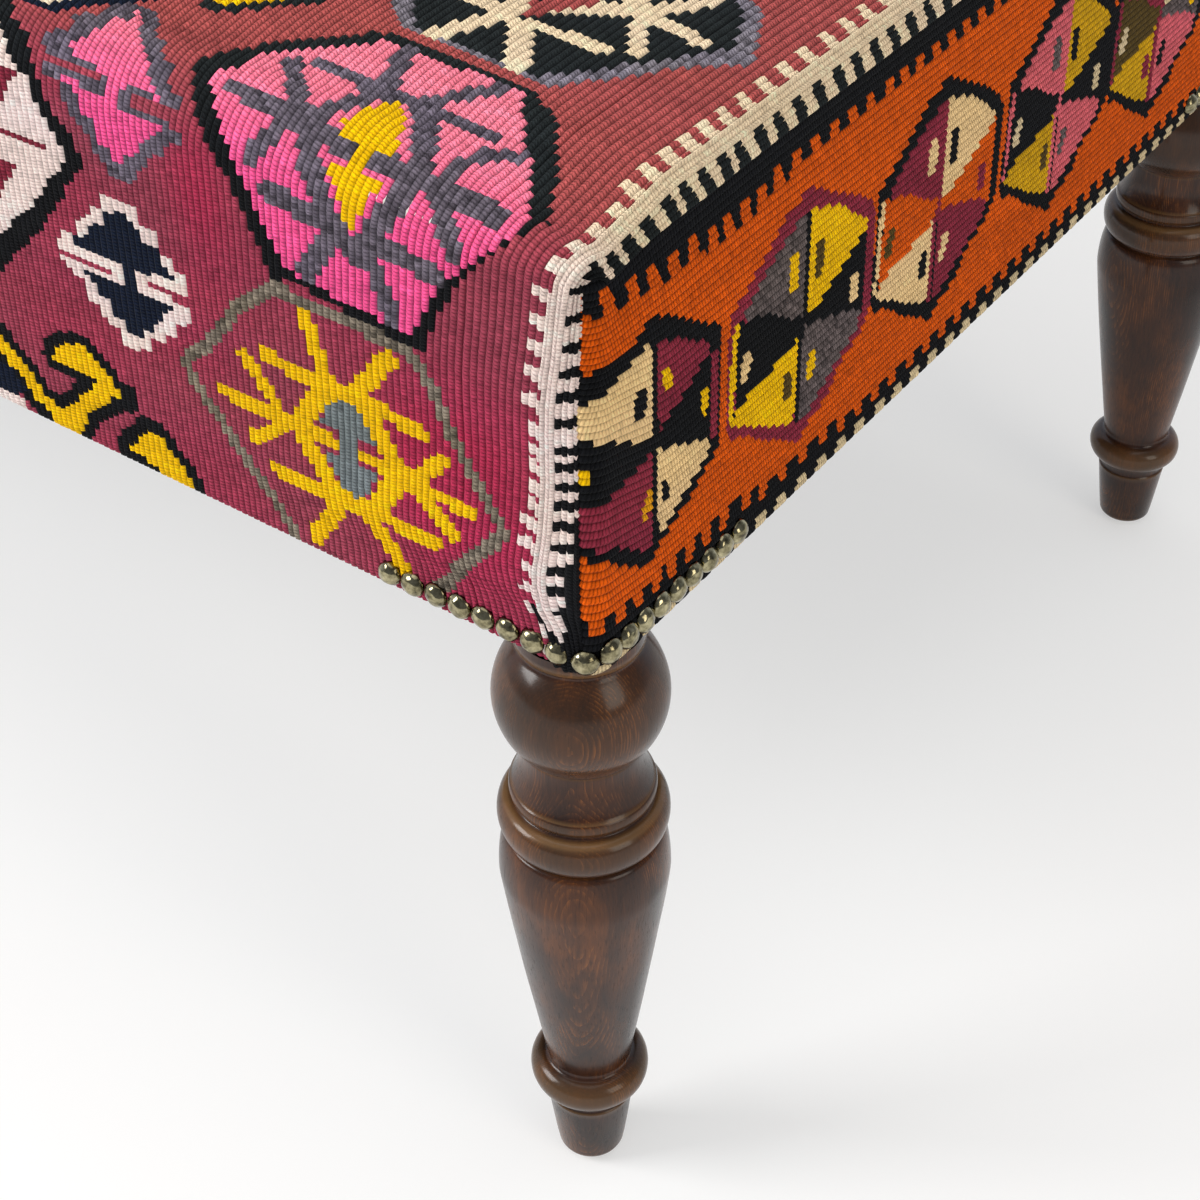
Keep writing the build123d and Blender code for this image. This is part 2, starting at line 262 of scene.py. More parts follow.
def walnut_material():
    """Dark stained wood: uneven stain, rings and pores in the timber, paler where it is rubbed."""
    s = Shader("leg_walnut", Coat_Weight=0.42, Coat_Roughness=0.17, Specular_IOR_Level=0.1)
    place = s.attribute("grain", "Vector")
    warp = s.noise(s.stretch(place, (1, 1, 0.4)), 30.0, 3.0, 0.5)
    x, y, z = s.split(place)
    x = s.plus(x, s.times(s.math("SUBTRACT", warp, 0.5), 0.009))
    side = s.plus(s.times(x, x), s.times(y, y))
    radius = s.math("SQRT", side)
    radius = s.plus(radius, s.times(z, 0.03))
    rings = s.math("FRACT", s.times(radius, 980.0))
    late = s.math("POWER", rings, 3.0)
    wide = s.noise(s.join(s.times(radius, 90.0), 0.0, s.times(z, 6.0)), 1.0, 2.0, 0.5)
    flecks = s.noise(s.stretch(place, (700, 700, 60)), 1.0, 3.0, 0.65)
    stain = s.noise(s.stretch(place, (24, 24, 13)), 1.0, 3.0, 0.55)
    glow = s.remap(s.noise(s.stretch(place, (38, 38, 20)), 1.0, 2.0, 0.5), 0.46, 0.62, 0.0, 1.0)
    tone = s.plus(s.times(s.math("SUBTRACT", stain, 0.5), 1.5), s.times(flecks, 0.25))
    tone = s.plus(s.plus(tone, s.times(s.math("SUBTRACT", wide, 0.5), 0.5)), 0.38)
    colour = s.ramp(tone, (0.15, "170f0d"), (0.42, "2c1b15"), (0.62, "3f2416"), (0.85, "683a17"))
    line = s.times(late, s.plus(s.times(glow, 0.42), 0.04))
    line = s.times(line, s.remap(flecks, 0.42, 0.62, 0.0, 1.0))
    colour = s.mix(s.times(glow, 0.18), colour, linear("7a4318"))
    colour = s.mix(line, colour, linear("b06a2c"))
    pores = s.noise(s.stretch(place, (1500, 1500, 90)), 1.0, 2.0, 0.6)
    pores = s.remap(pores, 0.56, 0.70, 0.0, 1.0)
    colour = s.mix(s.times(pores, 0.4), colour, linear("120b09"))
    edge = s.attribute("wear_and_rim_shade", "Fac")
    colour = s.mix(s.times(edge, 0.55), colour, linear("94714a"))
    height = s.plus(s.times(pores, -0.4), s.times(late, 0.15))
    rough = s.plus(s.remap(stain, 0.3, 0.7, 0.24, 0.38), s.times(pores, 0.2))
    return s.finish(colour, rough, s.bump(height, 0.2, 0.0004))


def brass_material():
    """Antique brass: mottled and finely dented, with painted shade on the rim where each head meets
    the cloth.
    """
    s = Shader("nail_brass", metallic=1.0)
    place = s.place()
    dents = s.cells(place, 420.0, "SMOOTH_F1")
    stain = s.noise(place, 300.0, 4.0, 0.65)
    # Painted shade on the rim and underside of each head, where it meets the cloth
    painted_rim_shade = s.attribute("wear_and_rim_shade", "Fac")
    colour = s.ramp(stain, (0.3, "39352a"), (0.46, "827b5f"), (0.72, "bdb491"))
    colour = s.mix(s.times(painted_rim_shade, 0.9), colour, linear("17120c"))
    rough = s.remap(stain, 0.3, 0.7, 0.26, 0.10)
    return s.finish(colour, rough, s.bump(dents, 0.35, 0.0006))


def pine_material():
    s = Shader("frame_pine", Specular_IOR_Level=0.3)
    place = s.place((1, 6, 6))
    wave = s.noise(place, 9.0, 3.0, 0.55, 0.6)
    rings = s.math("FRACT", s.times(wave, 9.0))
    fine = s.noise(s.place((30, 700, 700)), 1.0, 2.0, 0.6)
    tone = s.plus(s.times(rings, 0.6), s.times(fine, 0.4))
    colour = s.ramp(tone, (0.1, "e2c089"), (0.6, "cf9f63"), (1.0, "a9733d"))
    rough = s.remap(fine, 0.3, 0.7, 0.62, 0.82)
    return s.finish(colour, rough, s.bump(tone, 0.3, 0.0006))


def plywood_material():
    s = Shader("deck_plywood", Specular_IOR_Level=0.3)
    grain = s.noise(s.place((4, 60, 4)), 3.0, 4.0, 0.6, 0.8)
    _, _, z = s.split(s.place())
    plies = s.math("FRACT", s.times(z, 1000.0 / 3.0))
    tone = s.plus(s.times(grain, 0.8), s.times(s.math("GREATER_THAN", plies, 0.5), 0.12))
    colour = s.ramp(tone, (0.25, "dcbd8c"), (0.55, "c79c66"), (0.85, "9a6f42"))
    rough = s.remap(grain, 0.3, 0.7, 0.6, 0.8)
    return s.finish(colour, rough, s.bump(tone, 0.25, 0.0005))


def steel_material():
    s = Shader("plain_steel", metallic=1.0)
    draw = s.noise(s.place((300, 300, 40)), 1.0, 3.0, 0.6)
    colour = s.ramp(draw, (0.3, "8f9296"), (0.7, "c3c5c8"))
    rough = s.remap(draw, 0.3, 0.7, 0.28, 0.42)
    return s.finish(colour, rough, s.bump(draw, 0.2, 0.0002))


def soft_material(name, light, dark, scale, strength, distance):
    s = Shader(name, Sheen_Weight=0.1, Specular_IOR_Level=0.2)
    place = s.place()
    fine = s.noise(place, scale, 4.0, 0.65)
    broad = s.noise(place, scale * 0.08, 3.0, 0.5)
    tone = s.plus(s.times(fine, 0.6), s.times(broad, 0.4))
    colour = s.ramp(tone, (0.3, dark), (0.7, light))
    rough = s.remap(fine, 0.2, 0.8, 0.85, 0.98)
    return s.finish(colour, rough, s.bump(fine, strength, distance))


def foam_material():
    s = Shader("foam", Specular_IOR_Level=0.2)
    place = s.place()
    pores = s.cells(place, 900.0)
    broad = s.noise(place, 14.0, 3.0)
    tone = s.plus(s.times(pores, 0.7), s.times(broad, 0.3))
    colour = s.ramp(tone, (0.1, "c9bb83"), (0.6, "e6dcae"))
    return s.finish(colour, s.remap(pores, 0.0, 0.8, 0.98, 0.85), s.bump(pores, 0.5, 0.0008))


def dust_material():
    s = Shader("dust_cloth", Sheen_Weight=0.08, Specular_IOR_Level=0.25)
    x, y, _ = s.split(s.place())
    spots = s.math("SINE", s.times(x, 2600.0))
    spots = s.times(spots, s.math("SINE", s.times(y, 2600.0)))
    fibre = s.noise(s.place(), 700.0, 4.0, 0.7)
    tone = s.plus(s.times(spots, 0.25), fibre)
    colour = s.ramp(tone, (0.3, "131315"), (0.8, "2c2c30"))
    return s.finish(colour, s.remap(fibre, 0.3, 0.7, 0.75, 0.92), s.bump(tone, 0.4, 0.0004))


KILIM = kilim_material()
WALNUT = walnut_material()
BRASS = brass_material()
PINE = pine_material()
PLYWOOD = plywood_material()
STEEL = steel_material()
FELT = soft_material("pad_felt", "cfc8ba", "a59c8a", 1500.0, 0.5, 0.0006)
WADDING = soft_material("wadding", "f0f0ec", "d8d8d2", 500.0, 0.6, 0.0015)
FOAM = foam_material()
DUST = dust_material()


# ---------------------------------------------------------------- meshes


def make_object(name, points, faces, material, slot):
    """A mesh object from points in millimetres and faces of four or three corners."""
    mesh = bpy.data.meshes.new(name)
    points = np.asarray(points, float) * MM
    faces = np.asarray(faces, np.int32)
    corners = faces.shape[1]
    mesh.vertices.add(len(points))
    mesh.vertices.foreach_set("co", points.astype(np.float32).ravel())
    mesh.loops.add(faces.size)
    mesh.loops.foreach_set("vertex_index", faces.ravel())
    mesh.polygons.add(len(faces))
    mesh.polygons.foreach_set("loop_start", np.arange(0, faces.size, corners, dtype=np.int32))
    mesh.polygons.foreach_set("use_smooth", np.ones(len(faces), bool))
    mesh.update(calc_edges=True)
    mesh.validate()
    mesh.materials.append(material)
    piece = bpy.data.objects.new(name, mesh)
    bpy.context.scene.collection.objects.link(piece)
    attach(piece, "root")
    return piece


def point_layer(piece, name, kind, key, values):
    """A named value for each point of a piece, which its material reads."""
    layer = piece.data.attributes.new(name, kind, "POINT")
    layer.data.foreach_set(key, values.astype(np.float32).ravel())


def gathered(parts):
    """The points and faces of several forms, as one."""
    starts = np.cumsum([0] + [len(points) for points, _ in parts])
    faces = [faces + start for (_, faces), start in zip(parts, starts)]
    return np.concatenate([points for points, _ in parts]), np.concatenate(faces)


def grid_faces(rows, columns, wrap=False):
    """Faces between the points of a grid, rows first."""
    reach = columns if wrap else columns - 1
    i, j = np.meshgrid(np.arange(rows - 1), np.arange(reach), indexing="ij")
    after = (j + 1) % columns
    a = i * columns + j
    b = i * columns + after
    quads = np.stack([a, b, b + columns, a + columns], axis=-1)
    return quads.reshape(-1, 4)


def lathe(outline, segments, centre=(0, 0, 0)):
    """Points and faces of a form turned from an outline of (radius, height)."""
    outline = np.asarray(outline, float)
    turns = 2 * pi * np.arange(segments) / segments
    points = np.zeros((len(outline), segments, 3))
    points[..., 0] = outline[:, :1] * np.cos(turns)
    points[..., 1] = outline[:, :1] * np.sin(turns)
    points[..., 2] = outline[:, 1:]
    return points.reshape(-1, 3) + centre, grid_faces(len(outline), segments, wrap=True)


# ---------------------------------------------------------------- the rug's surface


def edge_height(x):
    """Height of the top's long edges, which are lowest at the corners."""
    return CORNER_TOP + LONG_RISE * (1 - np.exp(-(HALF_LENGTH - 5 - np.abs(x)) / LONG_REACH))


def deep_rise(inward):
    """How far the top stands above its long edges, from their bend inward."""
    inward = np.maximum(inward, 0)
    return DEEP_RISE * (1 - np.exp(-inward * inward / (inward + 8) / DEEP_REACH))


def profile(x, run):
    """Place and facing on the front half of the rug, for a run up from its bottom edge."""
    tight = smooth(590 - np.abs(x), 0, 62)
    bend = CORNER_BEND + (BEND - CORNER_BEND) * tight
    quarter = bend * pi / 2
    upright = edge_height(x) - LEG_TOP - STRAIGHT - bend
    length = upright + quarter + BEND - bend
    ahead = np.clip((run - STRAIGHT) / BEND_LENGTH, 0, 1) * length
    turn = np.clip((ahead - upright) / bend, 0, pi / 2)
    inward = np.maximum(ahead - upright - quarter, 0) + np.maximum(run - TOP_START, 0)
    y = -HALF_DEPTH + bend * (1 - np.cos(turn)) + inward
    z = LEG_TOP + np.minimum(run, STRAIGHT) + np.minimum(ahead, upright) + bend * np.sin(turn)
    return y, z + deep_rise(inward), turn


def edge_turn(turn, run):
    """How far round the upright corner the front's piece reaches, for a facing of its bend."""
    base = radians(28) + radians(15) * smooth(run, 100, 155)
    return base + (pi / 2 - base) * smooth(turn, 0, pi / 2)


def seam_drop(inward):
    """How far the top's piece reaches down each end, from the corner inward."""
    return 3.5 * smooth(inward, 10, 60)


def rug_point(x, run, lift=0.0):
    """A point of the main length: up the front, over the top and down the back."""
    mirror = run > SHEET / 2
    near = np.where(mirror, SHEET - run, run)
    side = np.sign(x)
    flat = np.minimum(np.abs(x), HALF_LENGTH - CORNER)
    y, z, turn = profile(flat, np.maximum(near, ROLL))
    beyond = np.abs(x) - flat
    roll = np.clip((ROLL - near) / ROLL, 0, pi / 2)
    round_corner = np.minimum(beyond / CORNER, pi / 2)
    down = np.maximum(beyond - CORNER * pi / 2, 0)
    away = np.stack([np.zeros_like(y), -np.cos(turn), np.sin(turn)], -1)
    centre = np.stack([flat, y, z], -1) - CORNER * away
    out = np.cos(round_corner)[..., None] * away
    out = out + np.sin(round_corner)[..., None] * np.array([1.0, 0.0, 0.0])
    reach = CORNER + lift * np.cos(roll) - ROLL * (1 - np.cos(roll))
    point = centre + reach[..., None] * out - down[..., None] * away
    under = np.maximum(-near - ROLL * (pi / 2 - 1), 0)
    point[..., 1] += under
    point[..., 2] += 0.9 * np.clip(under / 2, 0, 1) - (ROLL + 0.6 * lift) * np.sin(roll)
    point[..., 0] *= np.where(side == 0, 1, side)
    point[..., 1] *= np.where(mirror, -1, 1)
    return point


def end_point(y, rise, lift, hand):
    """A point of the right or left end's piece, which runs under the main length at its edges."""
    p = np.maximum(np.abs(y) - (HALF_DEPTH - CORNER), 0)
    q = np.maximum(rise - (HEIGHT - CORNER), 0)
    m = np.hypot(p, q) + 1e-9
    angle = np.minimum(m / CORNER, pi / 2)
    facing = np.arctan2(q, p + 1e-9)
    edge = edge_turn(facing, rise)
    hidden = np.where(m > 1e-6, CORNER * (edge - (pi / 2 - angle)), -9.0)
    under_top = rise - (HEIGHT - CORNER) + seam_drop(HALF_DEPTH - CORNER - np.abs(y))
    lift = lift - 1.3 * smooth(np.maximum(hidden, under_top), -0.3, 2.2)
    roll = np.clip((ROLL - rise) / ROLL, 0, pi / 2)
    reach = CORNER + lift * np.cos(roll) - ROLL * (1 - np.cos(roll))
    x = HALF_LENGTH - CORNER + reach * np.cos(angle)
    flat_y = np.minimum(np.abs(y), HALF_DEPTH - CORNER)
    flat_z = np.clip(rise, ROLL, HEIGHT - CORNER)
    yy = np.sign(y) * (flat_y + reach * np.sin(angle) * p / m)
    zz = LEG_TOP + flat_z + reach * np.sin(angle) * q / m
    zz = zz + end_lift(flat_y, rise)
    under = np.maximum(-rise - ROLL * (pi / 2 - 1), 0)
    x = x - under
    zz = zz + 0.1 * np.clip(under / 2, 0, 1) - (ROLL + 0.6 * lift) * np.sin(roll)
    return np.stack([hand * x, yy, zz], -1)


def end_lift(y, rise):
    """How far the upper part of an end's piece moves to meet the domed top."""
    edge = edge_height(HALF_LENGTH - CORNER) + deep_rise(HALF_DEPTH - CORNER - np.abs(y))
    return (edge - LEG_TOP - HEIGHT) * smooth(rise, 95, HEIGHT - CORNER)


def read_crown_arc(value, half):
    """Height of that form's crown, an arc over half its width."""
    radius = (half * half + READ_CROWN * READ_CROWN) / (2 * READ_CROWN)
    return np.sqrt(np.maximum(radius * radius - value * value, 0)) - (radius - READ_CROWN)


def read_place(place, run, points):
    """Place and run on the form that the pattern was read on, along each point's line of sight.

    They count in full for the corner in view, and fade to the rug's own at the left and the back.
    """
    sight = np.array(SIGHT) - points
    sight /= np.linalg.norm(sight, axis=-1, keepdims=True)
    way = np.zeros(place.shape)
    for _ in range(8):
        x, y, z = np.moveaxis(points + sight * way[..., None], -1, 0)
        raised = np.minimum(read_crown_arc(y, HALF_DEPTH - BEND), read_crown_arc(x, READ_REACH))
        p = np.maximum(-y - HALF_DEPTH + BEND, 0)
        q = np.maximum(z - np.maximum(raised, 0) - LEG_TOP - STRAIGHT, 0)
        m = np.hypot(p, q) + 1e-6
        slope = (q * sight[..., 2] - p * sight[..., 1]) / m
        way = way - np.clip((m - BEND) / np.maximum(slope, 0.2), -25, 25)
    read = np.where(z < LEG_TOP + STRAIGHT, z - LEG_TOP, STRAIGHT + BEND * np.arctan2(q, p))
    read = np.where(y > -HALF_DEPTH + BEND, READ_TOP_START + y + HALF_DEPTH - BEND, read)
    fade = smooth(run, 380, 640)
    share = smooth(place, 0, 250) * (1 - fade)
    back = run - (SHEET - 2 * READ_TOP_START - TOP_LENGTH) * fade
    return place + (x - points[..., 0]) * share, back + (read - back) * share


# The pale ridge beside each end: its middle and half its width, by the run up from the bottom edge
RIDGE_RUNS = [0, 12, 20, 26, 34, 40, 50, 60, 80, 100, 110, 120, 130, 140, 150, 160, 172, 180, 200,
              220, 240, 260, 300]
RIDGE_PLACES = [585.5, 585.5, 583.3, 579.5, 577.8, 577.8, 579.5, 581, 582.8, 583, 583.5, 584.8,
                586.5, 587.8, 589, 590.3, 593.5, 595, 595.5, 595, 596.2, 596.5, 596.3]
RIDGE_WIDTHS = [1.5, 1.5, 4.2, 3.8, 3, 3.2, 3.5, 3.5, 3.3, 3.4, 3.5, 3.7, 3.5, 3.7, 3.6, 3.4, 3.5,
                3.4, 3.1, 3.5, 3.7, 3.5, 3]
# Ribs: their pitch, how many lie each side of the middle and in a border, how far from the middle
# they lie evenly, and which are drawn together under the ridge
RIB_PITCH = 3.12
HALF_RIBS = 196
BORDER_RIBS = 18
LAST_RIB = HALF_RIBS * RIB_PITCH
EVEN_RIBS = 400
RIDGE_RIB_LOW, RIDGE_RIB_HIGH = 588.0, 600.5
RIDGE_HALF = 3.8
# Heights of the weave's ribs and valleys, lower where the yarn changes, and of the ridge
CREST, LOW_CREST, VALLEY, SLIT = 0.56, 0.28, -0.45, -0.75
RIDGE_LIFT = 1.5
# Length of a bead of yarn along its rib, and how many a cell of the main pieces has
BEAD = 1.45
CELL_BEADS = 1.6
# An end's piece: its top edge, how far it reaches each way, and how many ribs and cells it has
END_TOP, END_REACH, END_RIBS, END_CELLS = 170.0, 288.5, 69, 398
# Number of the middle rib in the weave's map, so that no number there is negative
FIRST_RIB = 400


def ridge_place(run):
    """Middle of the pale ridge."""
    near = np.minimum(run, SHEET - run)
    return np.interp(near, RIDGE_RUNS, RIDGE_PLACES)


def last_place(run):
    """Where the rug's edge lies at each end."""
    near = np.clip(np.minimum(run, SHEET - run), 0, None)
    turn = profile(np.full_like(near, HALF_LENGTH - CORNER), near)[2]
    reach = HALF_LENGTH - CORNER + CORNER * edge_turn(turn, near)
    return reach + seam_drop(near - TOP_START + BEND - CORNER) * (turn > 1.5)


def rib_place(rib, run):
    """Where a rib of the rug lies across it, which follows the pale ridge near each end."""
    ridge = ridge_place(run)
    last = last_place(run)
    a = np.abs(rib)
    low, high = ridge - RIDGE_HALF, ridge + RIDGE_HALF
    inner = EVEN_RIBS + (a - EVEN_RIBS) * (low - EVEN_RIBS) / (RIDGE_RIB_LOW - EVEN_RIBS)
    narrow = low + (a - RIDGE_RIB_LOW) * (high - low) / (RIDGE_RIB_HIGH - RIDGE_RIB_LOW)
    outer = high + (a - RIDGE_RIB_HIGH) * (last - high) / (LAST_RIB - RIDGE_RIB_HIGH)
    place = np.where(a < EVEN_RIBS, a, inner)
    place = np.where(a > RIDGE_RIB_LOW, narrow, place)
    place = np.where(a > RIDGE_RIB_HIGH, outer, place)
    sway = 0.28 * drift(rib + 700, run + 100, 9, 60, 71) * smooth(LAST_RIB - a, 0, 30)
    return place * np.sign(rib) + sway


# ---------------------------------------------------------------- yarns

YARNS = {
    "field": "924050", "black": "111215", "navy": "121a2b", "pink": "f25592",
    "heather": "625a66", "yellow": "f8c203", "cream": "fae3dc", "taupe": "7a7062",
    "bluegrey": "727a7c", "lilac": "7c7680", "maroon": "842a3c", "orange": "d4560a",
    "rose": "d4626c", "ochre": "cf9f12", "amber": "e09a12", "olive": "54431f",
    "coal": "5d5353", "tan": "d8c39a", "sand": "f2ce96", "teal": "2f5a5c", "brick": "a84a2c",
}
# Yarns that have other colours on the top than on the front and back, and those spun from fibres of
# several colours
TOP_TINTS = {"cream": "fbe1bd", "pink": "ff8399", "black": "1f2425"}
MIXED = ["heather", "lilac", "taupe", "coal"]
DEEP_FIELD, WARM_FIELD = "a82c4c", "a84f4d"
YARN_NAMES = list(YARNS)
YARN_COLOURS = np.array([linear(code) for code in YARNS.values()])


class Weave:
    """The cells of a woven piece, each with its yarn. a lies across the ribs and b along them."""

    def __init__(self, a, b, yarn):
        self.a = a
        self.b = b
        self.yarn = np.full(a.shape, YARN_NAMES.index(yarn))

    def where(self, mask, yarn):
        self.yarn[mask] = YARN_NAMES.index(yarn)

    def rows(self, order):
        """The same cells with their rows in another order."""
        part = Weave(self.a[order], self.b[order], "field")
        part.yarn = self.yarn[order]
        return part

    def window(self, points, margin=0.0):
        low = np.min(points, axis=0) - margin
        high = np.max(points, axis=0) + margin
        hit = (self.a > low[0]) & (self.a < high[0]) & (self.b > low[1]) & (self.b < high[1])
        return np.nonzero(hit)

    def fill(self, points, yarn):
        """Gives the cells inside an outline a yarn."""
        cells = self.window(points)
        a = self.a[cells]
        b = self.b[cells]
        hit = np.zeros(a.shape, bool)
        for (a0, b0), (a1, b1) in zip(points, list(points[1:]) + [points[0]]):
            if b0 != b1:
                cross = (b0 > b) != (b1 > b)
                hit ^= cross & (a < (a1 - a0) * (b - b0) / (b1 - b0) + a0)
        self.yarn[tuple(part[hit] for part in cells)] = YARN_NAMES.index(yarn)

    def line(self, points, width, yarn):
        """Gives the cells along a line a yarn."""
        half = width / 2
        for (a0, b0), (a1, b1) in zip(points, points[1:]):
            cells = self.window([(a0, b0), (a1, b1)], half)
            a = self.a[cells] - a0
            b = self.b[cells] - b0
            da, db = a1 - a0, b1 - b0
            share = np.clip((a * da + b * db) / max(da * da + db * db, 1e-9), 0, 1)
            hit = np.hypot(a - share * da, b - share * db) < half
            self.yarn[tuple(part[hit] for part in cells)] = YARN_NAMES.index(yarn)


def draw(weave, motif, centre, colours, flip_a=1, flip_b=1):
    """Draws a motif's shapes about a centre, each in its role's yarn."""
    middle, shapes = motif
    for role, outline, *width in shapes:
        points = [
            (centre[0] + flip_a * (a - middle[0]), centre[1] + flip_b * (b - middle[1]))
            for a, b in outline
        ]
        yarn = colours.get(role, role)
        if yarn is None:
            continue
        if width:
            weave.line(points, width[0], yarn)
        else:
            weave.fill(points, yarn)


def read_motif(middle, text):
    """A motif's middle and its shapes: (role, points) is filled, (role, points, width) stroked.

    A row of the text names a role and gives outlines, with points "a,b" in millimetres across the
    ribs and up from the bottom edge. A number after the role is the width of a stroke, and a second
    role fills what that stroke goes round. A mirrored outline is half of one that is symmetric, and
    one to draw twice is drawn reversed as well.
    """
    shapes = []
    for row in text.strip().replace("\n  ", " ").splitlines():
        head, outlines = row.split(":")
        pattern = r"([a-z ]+?)( mirrored| twice)?(?: ([\d.]+)(?: ([a-z]+))?)?"
        role, manner, width, inside = re.fullmatch(pattern, head).groups()
        for outline in outlines.split(";"):
            points = [tuple(map(float, spot.split(","))) for spot in outline.split()]
            reversed_points = [(2 * middle[0] - a, b) for a, b in points]
            if manner == " mirrored":
                points += reversed_points[::-1]
            if inside:
                shapes.append((role, points + points[:1], float(width)))
                shapes.append((inside, points))
                continue
            stroke = (float(width),) if width else ()
            shapes.append((role, points, *stroke))
            if manner == " twice":
                shapes.append((role, reversed_points, *stroke))
    return middle, shapes


# Medallion with a spoked wheel
WHEEL = read_motif((497, 175), """
rim: 455,237.5 525,232.5 541.7,223 548,215 568,188 575,173 563,160 550,145 538,126 533,110.5
  507,113.5 473,118.5 466,115.5 458,135 450,150 428,168 412.5,188 415,195 428,212 440,223
ground: 460,233 523,230 533,217 543,205 550,198 560,185 567,175 569,168 560,158 550,148 540,138
  533,125 528,116 500,118 473,122.5 465,137 458,150 448,160 435,172 424,184 427.5,192 429,203
  440,215 452,223
spoke 8: 483,205 472,230; 500,207 515,227
spoke 7: 452,209 493,204; 498,206 532,201; 442,205 465,183
spoke 8: 436,182 467,178 493,174; 467,177 458,160; 503,174 558,169
spoke 7: 533,178 537,192 547,196
spoke 8: 537,167 547,153; 468,151 493,147; 515,147 539,143; 497,145 483,125; 512,142 520,120
spoke 9: 483,205 472,182 482,165 497,148 505,140; 500,206 512,193 521,178 522,165 514,150 508,140
eye: 487,201 495,201.5 501,195 506,186 509,182 511,176 503,176 502,168 513,168 513,165 509,158
  507,152 505,148.5 500,152 497,160 491,163 488,168 497,168 497,176 487,176 485,180 483,185
  484.5,190 486,195
""")

# Medallion drawn in a thin line, with forked fingers
FINGERS = read_motif((497, 60), """
ground: 416,63 432,78 447,97 467,112.5 528,107.5 542,82 560,55 548,33 530,8 463,6 440,32 419,58
rim 5.4: 416,63 422,68 432,78 442,90 447,97 455,105 467,112.5 493,112 517,110 528,107.5 535,98
  542,82 548,73 553,65 560,55 562.5,50 557,42 548,33 543,27 538,18 530,8; 419,58 427,48 433,42
  440,32 450,22 458,12 463,6
finger 7.5: 480,105 487.5,82
finger 6.5: 458,82.5 483,79
finger 7.5: 517,103 500,82
finger 6.5: 507,81 529,77; 434,58 490,56; 448,78 462,62; 462,52 448,42; 500,56 549,52.5; 538,70
  527,58; 525,52 540,39; 458,32 488,32; 500,32.5 531,32
finger 7.5: 487,28 475,9; 503,28 517,12.5
finger 9: 487,80 471,57 487,32 503,32 519,55 503,80 487,80
eye: 482,62 508,62 502,74 495,78 488,74; 482,51 508,51 502,40 495,35 488,40; 491,70 499,70 499,42
  491,42
""")

# Dark medallion with a pale star
STAR = read_motif((500, 290), """
rim: 440,260 460,242.5 528,238 535,247 547,262 558,277 574,290 570,300 563,313 557,325 540,338
  525,343 460,343 447,330 434,312 424,293 430,278
ground: 450,262 462,246 520,242 530,253 540,267 553,283 562,297 560,303 552,320 538,332 522,338
  466,338 453,325 441,307 433,293 440,276
star 9: 483,272 472,247; 492,270 510,243
star 6: 498,272 528,270; 462,276 483,274
star 10: 481,277 520,303
star 7: 520,301 552,294; 525,295 537,275
star 9: 523,303 537,323; 517,304 507,336; 512,308 485,333
star 8: 500,300 481,310 470,326
star 9: 482,280 478,300
star 7: 480,299 446,304; 476,296 463,280
eye: 484,287 488,275 492,275 493,282 500,290 506,297 500,303 492,297
""")

# Pale medallion with hooked marks
PALE = read_motif((298, 132), """
rim mirrored: 320,68 327,75 333,82 340,88 347,95 353,102 358,108 364,115 368,122 373,127 379,131
  373,143 367,147 362,153 358,158 348,168 342,173 330,178 320,187
ground mirrored: 318,80 323,85 333,95 340,100 348,108 353,115 360,123 369,131 363,143 358,148
  353,157 340,163 332.5,170 318,178
mark twice: 345,160 338,147 326,150 322,168 312,172 320,158; 339,120 327,103 318,92 312,90 318,112
  330,122
mark twice 2.8: 335,134 357,133
eye: 298,170 312,150 322,133 312,114 298,94 284,114 274,133 284,150
star: 298,156 306,144 312,133 306,121 298,109 290,121 284,133 290,144
mark: 298,146 303,133 298,120 293,133
""")

# Hooks between the medallions of the first row
HOOK = read_motif((298, 15), """
rim 11 hook: 357,48 363,48 368,43 372,40 378,32 378,30 372,29 367,23 362,20 357,15 354,10 350,3
  348,0 337,0 332,7 325,10 322,17 313,22 309,27 311,37 315,32 322,27 327,22 332,15 338,12 343,12.5
  350,18 355,23 362,30 366,34 358,35 350,35 341,36 343,40 350,45
rim 12 hook: 390,21 397,21 402,15 407,12 410,8 413,3 398,2.5 393,5 377,7 378,9 383,13
rim 8: 384,31 384,35
navy: 296,8 296,20 312,22 322,12 316,8
cream: 296,-2 296,8 318,8 322,-2
""")

# Small double lozenges between the columns
KNOT = read_motif((390, 91), """
rim: 385,123 402.5,123 403,117 411,115 412,108 417.5,108 417.5,103 423,101 424,97 421,92 424,86
  420,80 414,79 414,73 407,72.5 406,67 400,67 400,61 393,59 384,59 382,65 375,67 373,72 368,73
  367.5,80 361,82 356,86 355,92 360,100 367.5,101 367.5,107 375,109 376,115 383,117
slot: 353,87.2 383,87.2 383,91.2 353,91.2; 402,90 425,89 425,93 402,93
ground: 390,119 397,119 397.5,116 402,114 402,110 410,108 411,102.5 417,99 415,97 396,96 396,87
  415,85 408,82 407.5,76 402,75 401,70 395,69 394,64 388,64 387,70 381,70 380,76 374,77 373,82
  366,85 389,87 389,95 365,95 366,99 373,102 375,108 382,110 383,115 390,116
""")
KNOT_TWO = read_motif((390, 170), """
rim: 359,208 372,208 380,204 383,197 393,192.5 398,186 408,181 410,175 420,170 423,165 429,157
  421,154 420,150 413,149 412.5,143 407,142 405,135 400,132.5 391,133 385,140 382,146 375,150
  373,154 367.5,156 365,162 355,162.5 356,170 348,174 348,178 355,180 355,185 350,187.5 350,192.5
  356,194 355,200
slot: 348,165.5 383,165.5 383,170 348,170; 400,162 425,160 425,165 400,167
ground: 368,204 374,202 377,197 381,192.5 387,188 392,183 400,177 408,170 413,167.5 395,168
  395,160 419,159 410,152 407,146 398,143 397.5,139 391,139 392,143 386,146 386,151 378,155
  377.5,159 367,162 367,164 387,161 387,169 378,171 361,174 360,178 367,181 364,185 367,191
  364,196 369,197
""")


